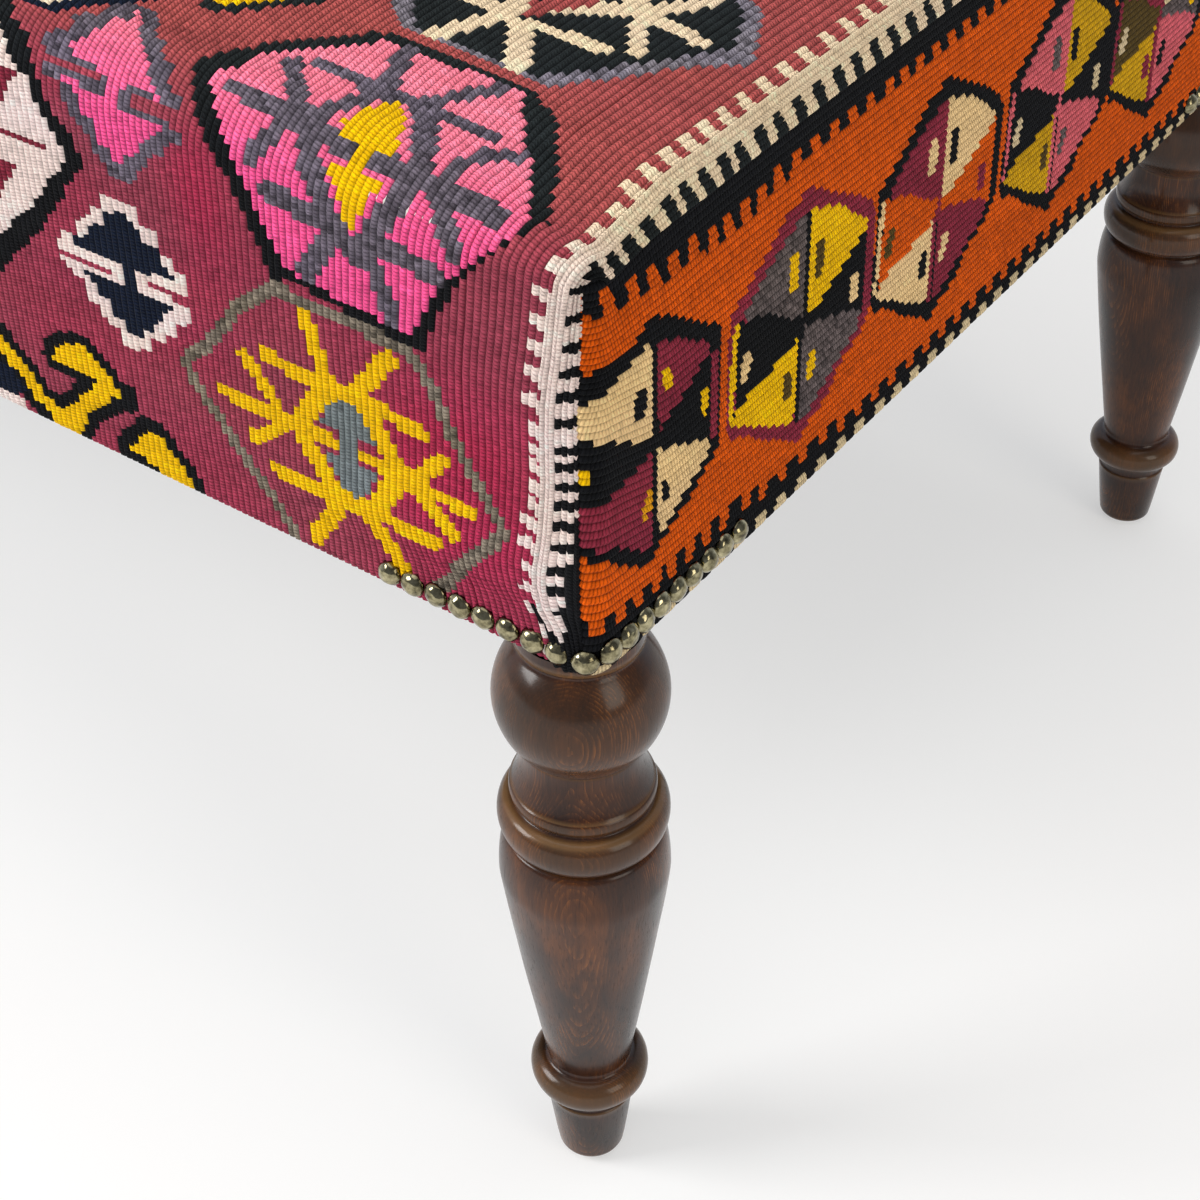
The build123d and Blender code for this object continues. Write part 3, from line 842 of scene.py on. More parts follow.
def yarn_sets(roles, *rows):
    """The yarns of a motif's roles, one set for each row. A dash leaves a role's shapes out."""
    return [
        {role: None if yarn == "-" else yarn for role, yarn in zip(roles.split(), row.split())}
        for row in rows
    ]


WHEELS = yarn_sets(
    "rim ground spoke eye", "black pink heather yellow", "navy cream maroon orange",
    "black orange navy cream", "cream teal tan rose", "black ochre maroon navy",
)
FINGER_SETS = yarn_sets(
    "rim ground finger eye", "taupe - yellow bluegrey", "lilac - cream navy", "black - orange coal"
)
STARS = yarn_sets(
    "rim ground star eye", "lilac black cream field", "black brick yellow navy",
    "taupe navy rose cream",
)
PALES = yarn_sets(
    "rim ground mark eye star", "black cream maroon black rose", "navy yellow black maroon cream",
    "black rose navy cream black",
)
HOOKS = yarn_sets("rim hook", "black yellow")
KNOTS = yarn_sets(
    "rim ground slot", "cream navy field", "heather pink field", "black yellow field",
    "black tan field", "cream orange field", "black bluegrey field",
)

# Which medallion stands where, column by column from the right and row by row from the front.
# W wheel, F fingers, S star, P pale, H hooks, with the number of its set of colours.
COLUMNS = [497, 298, 99, -99, -298, -497]
TABLE = [
    "F0 W0 S0 W4 P1 W2 F1 H0",
    "H0 P0 W1 F2 W3 S1 P0 W0",
    "W2 F1 P2 W0 S2 F0 W3 F2",
    "H0 S1 W3 P1 W0 P0 F1 W4",
    "P0 W4 F0 S0 W1 W2 S1 H0",
    "F2 W0 P2 W2 F1 S2 W3 P1",
]
MOTIFS = {
    "W": (WHEEL, WHEELS, (0, 0)),
    "F": (FINGERS, FINGER_SETS, (0, 2)),
    "S": (STAR, STARS, (3, -2)),
    "P": (PALE, PALES, (0, 0)),
    "H": (HOOK, HOOKS, (0, 0)),
}
PITCH = 117.3
COLUMN_STARTS = [58, 15]
# Motifs of each column that the photograph shows, which aren't turned round
READ_ROWS = [3, 2, 0, 0, 0, 0]
KNOT_START, KNOT_PITCH = 91, 79
KNOT_SHIFTS = [0, -22, 9, -14, 4]
# Middles of the teeth on both sides of the pale ridge, up from the bottom edge, and the pitch at
# which they go on
INNER_PITCH, OUTER_PITCH = 13.0, 12.5
INNER_TEETH = [-4, 6, 14, 22, 31, 39.5, 50, 59.5, 67.5, 75.5, 83.5, 90.5, 98.5, 109.5, 120.5, 131,
               141, 152.5, 165, 175, 185, 196, 206, 216.5, 227, 237, 246.5, 257, 268.5, 281, 294,
               307, 321]
OUTER_TEETH = [-3, 7, 16, 25, 33.8, 42.5, 53.8, 63, 71.9, 79.4, 87.5, 94, 105, 115.6, 125.3, 135,
               146, 158, 171.9, 180.6, 190, 200.6, 211.9, 221.3, 231.9, 242.5, 251.9, 263.8, 275,
               287.5, 300, 313, 325]


def near_tooth(run, teeth, pitch, half):
    """True where a run is within half a tooth of one. The teeth go on at a pitch after the last."""
    teeth = list(teeth)
    while teeth[-1] < SHEET / 2 + pitch:
        teeth.append(teeth[-1] + pitch)
    teeth = np.array(teeth)
    index = np.clip(np.searchsorted(teeth, run), 1, len(teeth) - 1)
    gap = np.minimum(np.abs(run - teeth[index - 1]), np.abs(run - teeth[index]))
    return gap < half


def paint_rug(weave, place, along):
    """The pattern of the main length: motifs where they were read, the ridge where it lies."""
    for column, (x, row) in enumerate(zip(COLUMNS, TABLE)):
        first = COLUMN_STARTS[column % 2]
        for number, code in enumerate(row.split()):
            motif, sets, shift = MOTIFS[code[0]]
            centre = (x + shift[0], first + number * PITCH + shift[1])
            flip = 1 if number < READ_ROWS[column] or (column + number) % 3 else -1
            if code[0] == "H" and number:
                draw(weave, motif, centre, sets[0], 1, -1)
                draw(weave, motif, centre, sets[0], -1, -1)
                continue
            if code[0] == "H":
                draw(weave, motif, centre, sets[0], -1, 1)
            draw(weave, motif, centre, sets[int(code[1])], flip, flip)
    for gap, shift in enumerate(KNOT_SHIFTS):
        x = (COLUMNS[gap] + COLUMNS[gap + 1]) / 2 - 7
        for number in range(11):
            kind = (number + 2 * gap) % len(KNOTS)
            motif = KNOT_TWO if kind % 2 else KNOT
            run = KNOT_START + number * KNOT_PITCH + shift + (2 if gap == 0 and number > 1 else 0)
            if run < SHEET - 30:
                draw(weave, motif, (x, run), KNOTS[kind], 1 if gap % 2 == 0 else -1)
    run = np.minimum(along, SHEET - along)
    off = np.abs(place) - ridge_place(along)
    wide = np.interp(run, RIDGE_RUNS, RIDGE_WIDTHS)
    inward = -off - wide
    outward = off - wide
    length = 6.3 + 2.2 * smooth(run, 190, 235)
    slant = 0.1 + 0.2 * smooth(run, 160, 180) + 0.25 * smooth(run, 220, 250)
    inner_half = 2.9 - 0.9 * np.clip((inward - length + 3) / 3, 0, 1)
    inner = near_tooth(run - slant * inward, INNER_TEETH, INNER_PITCH, inner_half)
    outer_half = 2.1 + 0.9 * smooth(run, 165, 195)
    outer_half = outer_half - 0.5 * np.clip((2.0 - outward) / 2.0, 0, 1)
    outer = near_tooth(run - 0.38 * outward, OUTER_TEETH, OUTER_PITCH, outer_half)
    strip = np.interp(run, [0, 38, 50, 61, 70, 80], [587.5, 587.5, 590, 591.6, 593.5, 620])
    weave.where(off > -wide - length - 1.5, "field")
    weave.where((inward < length) & inner, "cream")
    weave.where((inward < 0) & (outward < 30), "cream")
    weave.where((outward > 0) & (outer | (np.abs(place) > strip)), "black")
    weave.where((outward > 0.6) & (run > 163.5) & (run < 174.5), "black")
    weave.where((run < 20 + 1.5 * inward) & (inward < 3.5), "black")


# Border and hexagons of the ends, in millimetres along the end and up from its bottom edge
HEXAGON_ONE = read_motif((-249, 80), """
rim: -290,126 -262,125.5 -253,131 -247,130 -229.5,119 -210,106 -210,56 -229.5,44 -245,37 -254,31
  -264,38 -278,50 -290,53
upper left: -290,113 -269.5,118 -254,121.5 -251,120.5 -251,83.5 -256.5,85 -269.5,93.5 -290,103
lower left: -290,73 -269.5,74.4 -251,78 -251,38 -255.6,39.7 -269.5,50 -290,59
left: -251,81 -268,76 -290,76 -290,99 -270,90
upper right: -248,120 -234.7,114.5 -219,104 -217,99.7 -229.5,92 -247,84
lower right: -248,77 -234.7,71 -216.4,62.5 -217,56 -229.5,50 -247,39
right: -247,81 -217,94 -217,66
line 3: -249.5,38 -249.5,122
strip: -215.5,60 -215.5,98 -212,99 -212,60
upper left eye 6.5: -257.4,98 -257.4,104
upper right eye 5: -242.5,105 -241.5,99
right eye 5: -219.7,77.5 -219.7,83.5
lower right eye 4.5: -243.4,53.5 -243.4,59
lower left eye 5: -252.3,60 -254.5,55
left eye 4: -284.4,83.5 -284.4,88
""")
HEXAGON = read_motif((0, 0), """
rim: -49,105 -44,108.5 -28,118 -16,127.5 -2,132 3,131.5 17,123 34.5,113.5 45,105.7 49.3,99 49.3,59
  43,51 26,43 20.6,34.5 8.4,31 -1.2,25 -9,31 -26.5,41.5 -37,50 -47.3,54 -50,60.5
left: -43,100 -23,95 -11,87 0,82 0,73 -18,67 -33.5,65.5 -45,62
right: 0,82 20,88 43.5,97 43.5,57 31,63 8.4,72 0,73
upper left: -38.6,103 -26.5,112 -12.5,119.7 -0.3,123.5 -0.3,80.5 -11,85 -23,93.6 -40.4,99.7
upper right: 2.3,122.6 20.6,116 43.2,99 42.4,95.3 31,90 20.6,85 8.4,79 1.8,79.7
lower left: -47.3,61.4 -33.5,67.5 -18,69.2 -5.5,72 -2.4,74.4 -2,67.5 -4.6,36 -19.5,43 -33.5,52
  -45.6,58.8
lower right: 0,75.5 10,72.7 31,65.7 41.5,60.5 40,53.6 26,46.6 8.4,36 0,33.6
line 3.4: 0.9,122 0.9,80 -2.2,70 -2.2,36
strip: -46,99.7 -43,99.7 -44,85 -45.6,63 -48.2,62.3 -47.7,85
upper left eye 6: -7.6,96.5 -7.6,107
upper right eye 6: 9.3,95 9.3,104.5
right eye 6.6: 35.4,71 35.4,77.5
lower right eye 5.5: 5.8,52.5 7.7,58.5
lower left eye 6: -9.5,51 -9.5,58
left eye 6: -39,76 -37,82
""")
HEXAGON_PARTS = ["rim", "line", "strip"] + [
    sector + shape
    for sector in ("upper left", "upper right", "right", "lower right", "lower left", "left")
    for shape in ("", " eye")
]
# The middle of each hexagon along the end, and its yarns in the order of the parts
HEXAGONS = [
    (-249, "black black maroon sand black maroon yellow black yellow sand black maroon amber"
           " black yellow"),
    (-156, "maroon black yellow coal yellow yellow olive black sand coal yellow yellow olive"
           " black sand"),
    (-57, "black maroon sand maroon sand sand black orange maroon maroon sand sand black"
          " orange olive"),
    (46, "black rose rose rose coal ochre black black tan rose coal ochre olive black tan"),
    (145, "black maroon maroon maroon tan tan black coal yellow rose black ochre maroon olive tan"),
    (243, "maroon black black yellow black black sand sand black maroon yellow coal sand"
          " black yellow"),
]


# Border of the ends: middles of the orange teeth under the top band, over the low band, and of the
# pale teeth at the bottom edge, then the height of the top band's edge
HIGH_TEETH = [-288, -275.6, -262.6, -251.3, -239.9, -228.6, -217.3, -207.7, -197.6, -187.7, -177.6,
              -165.5, -153.7, -141, -129.3, -117, -104, -92.7, -82.3, -70]
LOW_TEETH = [-292, -281, -269.5, -259, -248.6, -238.5, -228, -217, -206.5, -192, -180.4, -166,
             -152, -137.5, -124, -111, -98, -85, -71]
HIGH_PITCH, LOW_PITCH, PALE_PITCH = 11.8, 13.2, 14.2
PALE_TEETH = [-280, -267, -253, -240, -224, -209, -195, -180.7, -166.8, -152, -138, -123.2,
              -109.3, -93.6, -79.6, -65.7]
BAND_PLACES = [-285, -270, -250, -213, -203, -193, -175, -160, -120, -80]
BAND_HEIGHTS = [156, 153.5, 150.5, 148, 146.5, 148, 150.5, 151, 152, 152.5]


def paint_end(weave):
    """The pattern of an end: hexagons between a toothed band above and one below."""
    y, h = weave.a, weave.b
    for middle, yarns in HEXAGONS:
        motif = HEXAGON_ONE if middle < -200 else HEXAGON
        centre = (middle, 80.0 if middle < -200 else 0.0)
        draw(weave, motif, centre, dict(zip(HEXAGON_PARTS, yarns.split())))
    band = np.interp(y, BAND_PLACES, BAND_HEIGHTS)
    length = 9 - 2.5 * smooth(y, -215, -150)
    deep = band - h
    tooth = near_tooth(y - 0.22 * deep, HIGH_TEETH, HIGH_PITCH, 2.9 - 0.8 * smooth(deep, 2.5, 0))
    weave.where((deep < 0) | ((deep < length) & ~tooth), "black")
    low = np.interp(y, [-285, -195, -180, -90], [18, 17.5, 14, 9.5])
    tooth = near_tooth(y, LOW_TEETH, LOW_PITCH, 2.9 - 0.8 * smooth(h - low, 2.0, 0))
    weave.where((h < low) | ((h < low + 6.5) & ~tooth), "black")
    # The pale teeth are drawn in the darker tan yarn, which paints the shade where the bottom edge
    # turns under
    pale = near_tooth(y, PALE_TEETH, PALE_PITCH, 4.0 - 1.0 * smooth(h, 4.5, 6.5))
    weave.where((h < 6.5) & pale, "tan")


# ---------------------------------------------------------------- the rug's pieces


def yarn_colours(weave, seed, top):
    """A colour for each cell: the yarn's own, with uneven dye, mottled mixtures and other colours
    on the top.
    """
    chance = np.random.default_rng(seed)
    colour = YARN_COLOURS[weave.yarn]
    a, b = weave.a, weave.b
    field = weave.yarn == YARN_NAMES.index("field")
    crimson = np.clip(0.5 + 0.9 * drift(a, b, 60, 24, seed + 1), 0, 1)
    near = np.exp(-(((a - 545) / 45) ** 2) - ((b - 60) / 55) ** 2)
    near = near + np.exp(-(((a - 435) / 16) ** 2) - ((b - 140) / 34) ** 2)
    crimson = np.clip(0.45 * crimson + 0.8 * near, 0, 1) * (1 - top)
    share = top[..., None]
    target = colour * (1 - crimson[..., None]) + np.array(linear(DEEP_FIELD)) * crimson[..., None]
    target = target * (1 - share) + np.array(linear(WARM_FIELD)) * share
    colour = np.where(field[..., None], target, colour)
    for name, code in TOP_TINTS.items():
        top_tinted = colour * (1 - share) + np.array(linear(code)) * share
        colour = np.where((weave.yarn == YARN_NAMES.index(name))[..., None], top_tinted, colour)
    bands = 0.09 * drift(a, b, 170, 7.5, seed + 2) + 0.05 * drift(a, b, 34, 2.6, seed + 3)
    spots = chance.normal(0, 0.075, a.shape)
    mixed = np.isin(weave.yarn, [YARN_NAMES.index(name) for name in MIXED])
    spots = np.where(mixed, chance.normal(0, 0.27, a.shape), spots)
    shade = np.clip(1 + bands + spots, 0.5, 1.5)
    cool = 1 + 0.05 * drift(a, b, 90, 16, seed + 4)
    colour = colour * shade[..., None]
    colour[..., 2] *= cool
    return np.clip(colour, 0, 1)


def woven_piece(name, points, colours, strips, reach, beads=1.0):
    """A mesh for some of a weave's cells: two faces across each rib, one per cell along it.

    Its weave map counts ribs and beads from reach, with a number of beads for each cell. Its OFBake
    map cuts it into strips, so that long narrow pieces fill the square.
    """
    rows, columns = points.shape[:2]
    faces = grid_faces(rows, columns)
    piece = make_object(name, points.reshape(-1, 3), faces, KILIM, "kilim")
    mesh = piece.data
    across = np.repeat(colours, 2, axis=1)
    corner = np.repeat(across.reshape(-1, 3), 4, axis=0)
    rgba = np.concatenate([corner, np.ones((len(corner), 1))], axis=1)
    yarn = mesh.color_attributes.new("yarn", "FLOAT_COLOR", "CORNER")
    yarn.data.foreach_set("color", rgba.astype(np.float32).ravel())
    i, j = np.meshgrid(np.arange(rows - 1), np.arange(columns - 1), indexing="ij")
    around = [(0, 0), (0, 1), (1, 1), (1, 0)]
    wide = -(-(columns - 1) // strips)
    strip = j // wide
    maps = {
        "weave": [((j + dj) / 2 + reach[0], (i + di) * beads + reach[1]) for di, dj in around],
        "OFBake": [
            ((j - strip * wide + dj) / wide, ((i + di) / (rows - 1) * 0.985 + strip) / strips)
            for di, dj in around
        ],
    }
    for map_name, corners in maps.items():
        layer = mesh.uv_layers.new(name=map_name)
        uv = np.stack([np.stack(corner, -1) for corner in corners], -2)
        layer.data.foreach_set("uv", uv.astype(np.float32).ravel())
    return piece


def relief(weave, seed):
    """Height of the weave's points: ribs stand up, valleys and slits lie low."""
    chance = np.random.default_rng(seed)
    yarn = weave.yarn
    cells, ribs = yarn.shape
    padded = np.pad(yarn, 1, mode="edge")
    change = padded[1:, 1:-1] != padded[:-1, 1:-1]
    crest = np.where(change, LOW_CREST, CREST) + chance.normal(0, 0.05, change.shape)
    slit = padded[:, 1:] != padded[:, :-1]
    slit = slit[1:, :] | slit[:-1, :]
    valley = np.where(slit, SLIT, VALLEY) + chance.normal(0, 0.05, slit.shape)
    valley[:, [0, -1]] = VALLEY
    lift = np.zeros((cells + 1, 2 * ribs + 1))
    lift[:, 0::2] = valley
    lift[:, 1::2] = crest
    return lift


def rug_part(first, last, cell, seed):
    """The main length between two ribs: how many cells each stretch has, its points and colours."""
    stops = [-HEM, 0.0, FOLD, SHEET - FOLD, SHEET, SHEET + HEM]
    counts = [round((high - low) / cell) for low, high in zip(stops, stops[1:])]
    runs = [stops[0]]
    for low, high, count in zip(stops, stops[1:], counts):
        runs += list(low + (high - low) * np.arange(1, count + 1) / count)
    runs = np.array(runs)
    ribs = RIB_PITCH * np.arange(2 * first, 2 * last + 1) / 2
    rib_grid, run_grid = np.meshgrid(ribs, runs)
    ribs_at, runs_at = np.meshgrid(ribs[1::2], (runs[:-1] + runs[1:]) / 2)
    place_at = rib_place(ribs_at, runs_at)
    seen = rug_point(place_at, np.maximum(runs_at, ROLL), np.zeros(runs_at.shape))
    weave = Weave(*read_place(place_at, runs_at, seen), "field")
    paint_rug(weave, place_at, runs_at)
    lift = relief(weave, seed)
    place = rib_place(rib_grid, run_grid)
    off = np.abs(place) - ridge_place(run_grid)
    raised = np.clip(1 - (np.abs(np.abs(off) - 1.9) / 2.4) ** 2, 0, 1)
    lift = lift + RIDGE_LIFT * raised * (np.abs(off) < 4.3)
    near = np.minimum(run_grid, SHEET - run_grid)
    edge_at = last_place(run_grid)
    edge = smooth(np.abs(place), edge_at - 1.6, edge_at) * (1 - smooth(near, 165, 185))
    lift = lift - 1.5 * edge
    points = rug_point(place, run_grid, lift)
    share = smooth(np.minimum(runs_at, SHEET - runs_at), 150, 205)
    return counts, points, yarn_colours(weave, 5, share)


def main_rug():
    """The main length, in three pieces of long cells between two borders of finer ones."""
    pieces = []
    inner = HALF_RIBS - BORDER_RIBS
    counts, points, colours = rug_part(-inner, inner, CELL_BEADS * BEAD, 11)
    cuts = [0, sum(counts[:2]), sum(counts[:3]), sum(counts)]
    names = ("kilim_front", "kilim_top", "kilim_back")
    for name, low, high, strips in zip(names, cuts, cuts[1:], (4, 2, 4)):
        reach = (FIRST_RIB - inner, CELL_BEADS * low)
        rows = points[low : high + 1]
        pieces.append(woven_piece(name, rows, colours[low:high], strips, reach, CELL_BEADS))
    for name, first, last, seed in (
        ("kilim_border_left", -HALF_RIBS, -inner, 12),
        ("kilim_border_right", inner, HALF_RIBS, 13),
    ):
        _, points, colours = rug_part(first, last, BEAD, seed)
        pieces.append(woven_piece(name, points, colours, 1, (FIRST_RIB + first, 0)))
    return pieces


def end_rug(name, hand, seed):
    """One end's piece. Its ribs lie level, so a rib is a height and its cells run along the end."""
    heights = np.linspace(-HEM, END_TOP, 2 * END_RIBS + 1)
    runs = np.linspace(-END_REACH, END_REACH, END_CELLS + 1)
    height_grid, run_grid = np.meshgrid(heights, runs)

    def pull(height, run):
        """The ribs rise towards the corners at mid height."""
        near = smooth(np.abs(run), 238, 284)
        middle = np.clip(height / 60, 0, 1) * np.clip((160 - height) / 60, 0, 1)
        return height + 9.0 * near * middle

    middle_height = (heights[0:-1:2] + heights[2::2]) / 2
    middle_run = (runs[:-1] + runs[1:]) / 2
    heights_at, runs_at = np.meshgrid(middle_height, middle_run)
    rise = pull(heights_at, runs_at)
    flat_run = np.minimum(np.abs(runs_at), HALF_DEPTH - CORNER)
    weave = Weave(runs_at * hand, rise + end_lift(flat_run, rise), "orange")
    paint_end(weave)
    lift = relief(weave, seed)
    points = end_point(run_grid, pull(height_grid, run_grid), lift * (height_grid > -1), hand)
    weave = weave.rows(slice(None, None, hand))
    colours = yarn_colours(weave, seed, np.zeros(weave.a.shape))
    return woven_piece(name, points[::hand, ::-1], colours[:, ::-1], 1, (0, 0))


# ---------------------------------------------------------------- legs


def bead(bottom, top, low_seat, high_seat, radius, steps=14):
    """A rounded ring between two seats."""
    points = []
    for step in range(steps + 1):
        turn = pi * step / steps - pi / 2
        share = (1 + sin(turn)) / 2
        seat = low_seat + (high_seat - low_seat) * share
        points.append((seat + (radius - seat) * cos(turn), bottom + (top - bottom) * share))
    return points


def leg_outline():
    """The turned outline from the pad up, with every ring, cove and groove cut crisply."""
    points = [(0.0, 2.0), (9.6, 2.0)]
    for step in range(7):
        turn = pi / 2 * step / 6
        points.append((9.9 + 3.8 * sin(turn), 2.0 + 3.4 * (1 - cos(turn))))
    for step in range(1, 13):
        share = step / 12
        points.append((13.7 + 3.9 * share**0.9, 5.4 + 30.4 * share))
    points += [(17.7, 36.2), (17.5, 36.6), (16.9, 37.0)]
    for step in range(1, 7):
        share = step / 6
        points.append((16.9 + 1.7 * share**2, 37.0 + 6.0 * share))
    points += bead(43.0, 58.0, 18.6, 17.2, 24.0)
    for step in range(1, 41):
        down = 1 - step / 40
        points.append((32.8 - 15.9 * down**1.1, 167.4 - 109.0 * down))
    for step in range(1, 13):
        turn = pi / 2 * step / 12
        points.append((29.0 + 3.8 * cos(turn), 167.4 + 19.8 * sin(turn)))
    points += [(28.4, 187.5), (28.2, 188.2), (28.9, 188.8)]
    points += bead(188.8, 204.6, 29.0, 27.6, 32.6, 18)[1:]
    points += [(26.4, 204.8), (26.1, 205.5), (26.3, 206.2), (27.0, 206.5)]
    for step in range(9):
        turn = pi * step / 8 - pi / 2
        points.append((26.9 + 0.9 * cos(turn), 209.3 + 2.7 * sin(turn)))
    for step in range(1, 15):
        share = step / 14
        radius = 26.7 - 3.7 * share - 1.5 * sin(pi * share)
        points.append((radius, 212.2 + 19.2 * share))
    low = asin(23.16 / 32.5)
    high = asin(23.35 / 32.5)
    for step in range(33):
        turn = -low + (high + low) * step / 32
        points.append((32.5 * cos(turn), 254.76 + 32.5 * sin(turn)))
    points += [(22.5, 278.6), (22.4, 279.6), (23.2, 280.2), (23.8, 280.9)]
    points += [(23.8, 283.8), (23.8, LEG_TOP)]
    return points


def turned_leg(name, x, y, turn, seed):
    """A leg cut from its own place in the timber, slightly out of round, with its edges rubbed."""
    outline = leg_outline()
    segments = 112
    foot = np.array([x, y, 0])
    points, faces = lathe(outline, segments, foot)
    piece = make_object(name, points, faces, WALNUT, "leg_walnut")
    local = points - foot
    wobble = 0.12 * drift(np.arctan2(local[:, 1], local[:, 0]) * 20 + 80, local[:, 2], 9, 22, seed)
    scale = 1 + wobble[:, None] * np.array([1, 1, 0]) / 30
    piece.data.vertices.foreach_set("co", ((local * scale + foot) * MM).astype(np.float32).ravel())
    c, s = cos(turn), sin(turn)
    x, y, z = local.T
    grain = np.stack([c * x - s * y + 62.0, s * x + c * y + 3.0, z + 37.0 * seed], -1)
    point_layer(piece, "grain", "FLOAT_VECTOR", "vector", grain * MM)
    outline = np.array(outline)
    radius, height = outline.T
    proud = np.zeros(len(outline))
    proud[1:-1] = radius[1:-1] - (radius[:-2] + radius[2:]) / 2
    proud = np.clip(proud / 0.4, 0, 1)
    proud[(height > 60) & (height < 187)] = 0
    shoulder = np.interp(height, [202.2, 203.6, 204.55, 204.65], [0, 0.8, 0.8, 0])
    wear_and_rim_shade = np.repeat(np.maximum(proud, shoulder), segments)
    point_layer(piece, "wear_and_rim_shade", "FLOAT", "value", wear_and_rim_shade)
    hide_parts(name)


def foot_pads():
    """The four round pads, with a softened lower edge."""
    outline = [(0, 0.02), (7.6, 0.02), (8.6, 0.3), (9.0, 0.9), (8.9, 1.5), (8.4, 2.0), (0, 2.0)]
    feet = [(x, y, 0) for x in (-LEG_X, LEG_X) for y in (-LEG_Y, LEG_Y)]
    points, faces = gathered([lathe(outline, 40, foot) for foot in feet])
    piece = make_object("felt_pads", points, faces, FELT, "pad_felt")
    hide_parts("foot_pads")


# ---------------------------------------------------------------- nails


NAILS_PER_ROW = 9
# The first nail's distance from the corner, the pitch and the height of the front's and ends' rows
FRONT_ROW, END_ROW = (5.0, 10.6, 8.2), (8.8, 9.9, 10.4)


def nail_places():
    """The same places as the solids': a row of nails each way from every bottom corner."""
    places = []
    for side_x in (-1, 1):
        for side_y in (-1, 1):
            for count in range(NAILS_PER_ROW):
                for row in (FRONT_ROW, END_ROW):
                    first, pitch, rise = row
                    front = row is FRONT_ROW
                    along = first + pitch * count
                    share = max(CORNER - along, 0) / CORNER
                    ahead = sqrt(1 - share * share)
                    inward = CORNER * (1 - ahead)
                    x, y = (along, inward) if front else (inward, along)
                    out_x, out_y = (share, ahead) if front else (ahead, share)
                    x, y = side_x * (HALF_LENGTH - x), side_y * (HALF_DEPTH - y)
                    places.append(((x, y, LEG_TOP + rise), (side_x * out_x, side_y * out_y, 0)))
    return places


def dome_nails():
    """Domed heads with hammered flats, each a little different and a little tilted."""
    chance = np.random.default_rng(31)
    stretch = np.array([1, 1, 1.3])
    outline = [(0.0, 3.6), (0.8, 3.57), (1.6, 3.42), (2.4, 3.12), (3.1, 2.72), (3.7, 2.22),
               (4.2, 1.62), (4.55, 1.0), (4.75, 0.4), (4.8, -0.1), (4.65, -0.5), (4.2, -0.6)]
    # How much painted shade each ring of the outline takes: none on the dome, most on the rim and
    # underside
    painted_rim_shades = [0.0] * 7 + [0.15, 0.5, 0.9, 1.0, 1.0]
    segments = 28
    heads = []
    for place, out in nail_places():
        p, f = lathe(outline, segments)
        flats = chance.normal(0, 1, (22, 3))
        flats[:, 2] = np.abs(flats[:, 2]) + 0.25
        flats /= np.linalg.norm(flats, axis=1)[:, None]
        depth = chance.uniform(4.35, 4.7, 22)
        ball = p * stretch
        for axis, level in zip(flats, depth):
            beyond = np.maximum(ball @ axis - level, 0)
            ball = ball - beyond[:, None] * axis * 0.85
        p = ball / stretch
        p[:, :2] *= chance.uniform(1.03, 1.09)
        tilt = Vector(chance.normal(0, 0.05, 3))
        matrix = (Vector(out) + tilt).to_track_quat("Z", "Y").to_matrix()
        heads.append((p @ np.array(matrix).T + np.array(place) + 0.2 * np.array(out), f))
    piece = make_object("hammered_nails", *gathered(heads), BRASS, "nail_brass")
    # Painted rim shade for every point of the heads, which the brass reads
    wear_and_rim_shade = np.tile(np.repeat(painted_rim_shades, segments), len(heads))
    point_layer(piece, "wear_and_rim_shade", "FLOAT", "value", wear_and_rim_shade)
    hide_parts("dome_nails")


# ---------------------------------------------------------------- inside and underneath


def soft_block(name, low, high, radius, gap, material, slot, open_bottom=False):
    """A block with rounded edges, whose top keeps a gap under the domed rug."""
    low, high = np.array(low), np.array(high)
    middle = (low + high) / 2
    half = (high - low) / 2
    sides = []
    steps = [60, 32, 14]
    for axis in range(3):
        for sign in (-1, 1):
            if open_bottom and axis == 2 and sign < 0:
                continue
            one, other = [k for k in range(3) if k != axis]
            u = np.sin(np.linspace(-pi / 2, pi / 2, steps[one] + 1))
            v = np.sin(np.linspace(-pi / 2, pi / 2, steps[other] + 1))
            grid_u, grid_v = np.meshgrid(u, v)
            cube = np.zeros(grid_u.shape + (3,))
            cube[..., axis] = sign
            cube[..., one] = grid_u
            cube[..., other] = grid_v
            flat = cube * half
            core = np.clip(flat, -(half - radius), half - radius)
            away = flat - core
            length = np.linalg.norm(away, axis=-1, keepdims=True)
            point = core + away / np.maximum(length, 1e-9) * radius
            far = np.minimum(np.abs(point[..., 0]), HALF_LENGTH - CORNER)
            top = edge_height(far) + deep_rise(HALF_DEPTH - BEND - np.abs(point[..., 1])) - gap
            point[..., 2] += (top - high[2]) * np.clip(point[..., 2] / half[2], 0, 1)
            order = 1 if (sign > 0) == (axis != 1) else -1
            sides.append((point.reshape(-1, 3) + middle, grid_faces(*grid_u.shape)[:, ::order]))
    piece = make_object(name, *gathered(sides), material, slot)
    mesh = bmesh.new()
    mesh.from_mesh(piece.data)
    bmesh.ops.remove_doubles(mesh, verts=mesh.verts, dist=0.00002)
    mesh.to_mesh(piece.data)
    mesh.free()
    return piece


def soft_layer(name, node, radius, material, slot, open_bottom=False):
    """A soft block in the box of the node that it replaces, under the rug's dome."""
    rug_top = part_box("kilim_cover")[1][2] / MM
    low, high = ([v / MM for v in corner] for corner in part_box(node))
    gap = rug_top - high[2] + 2
    piece = soft_block(name, low, high, radius, gap, material, slot, open_bottom)
    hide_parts(node)
    return piece


def stuffing():
    """The foam slab, and the wadding as a thin layer over it."""
    foam = soft_layer("foam_block", "foam_slab", 16.0, FOAM, "foam")
    layer = soft_layer("wadding_layer", "wadding", 24.0, WADDING, "wadding", True)
    thick = layer.modifiers.new("layer", "SOLIDIFY")
    thick.thickness = 0.0038
    thick.offset = -1.0
    bpy.context.view_layer.objects.active = layer
    with bpy.context.temp_override(object=layer):
        bpy.ops.object.modifier_apply(modifier=thick.name)


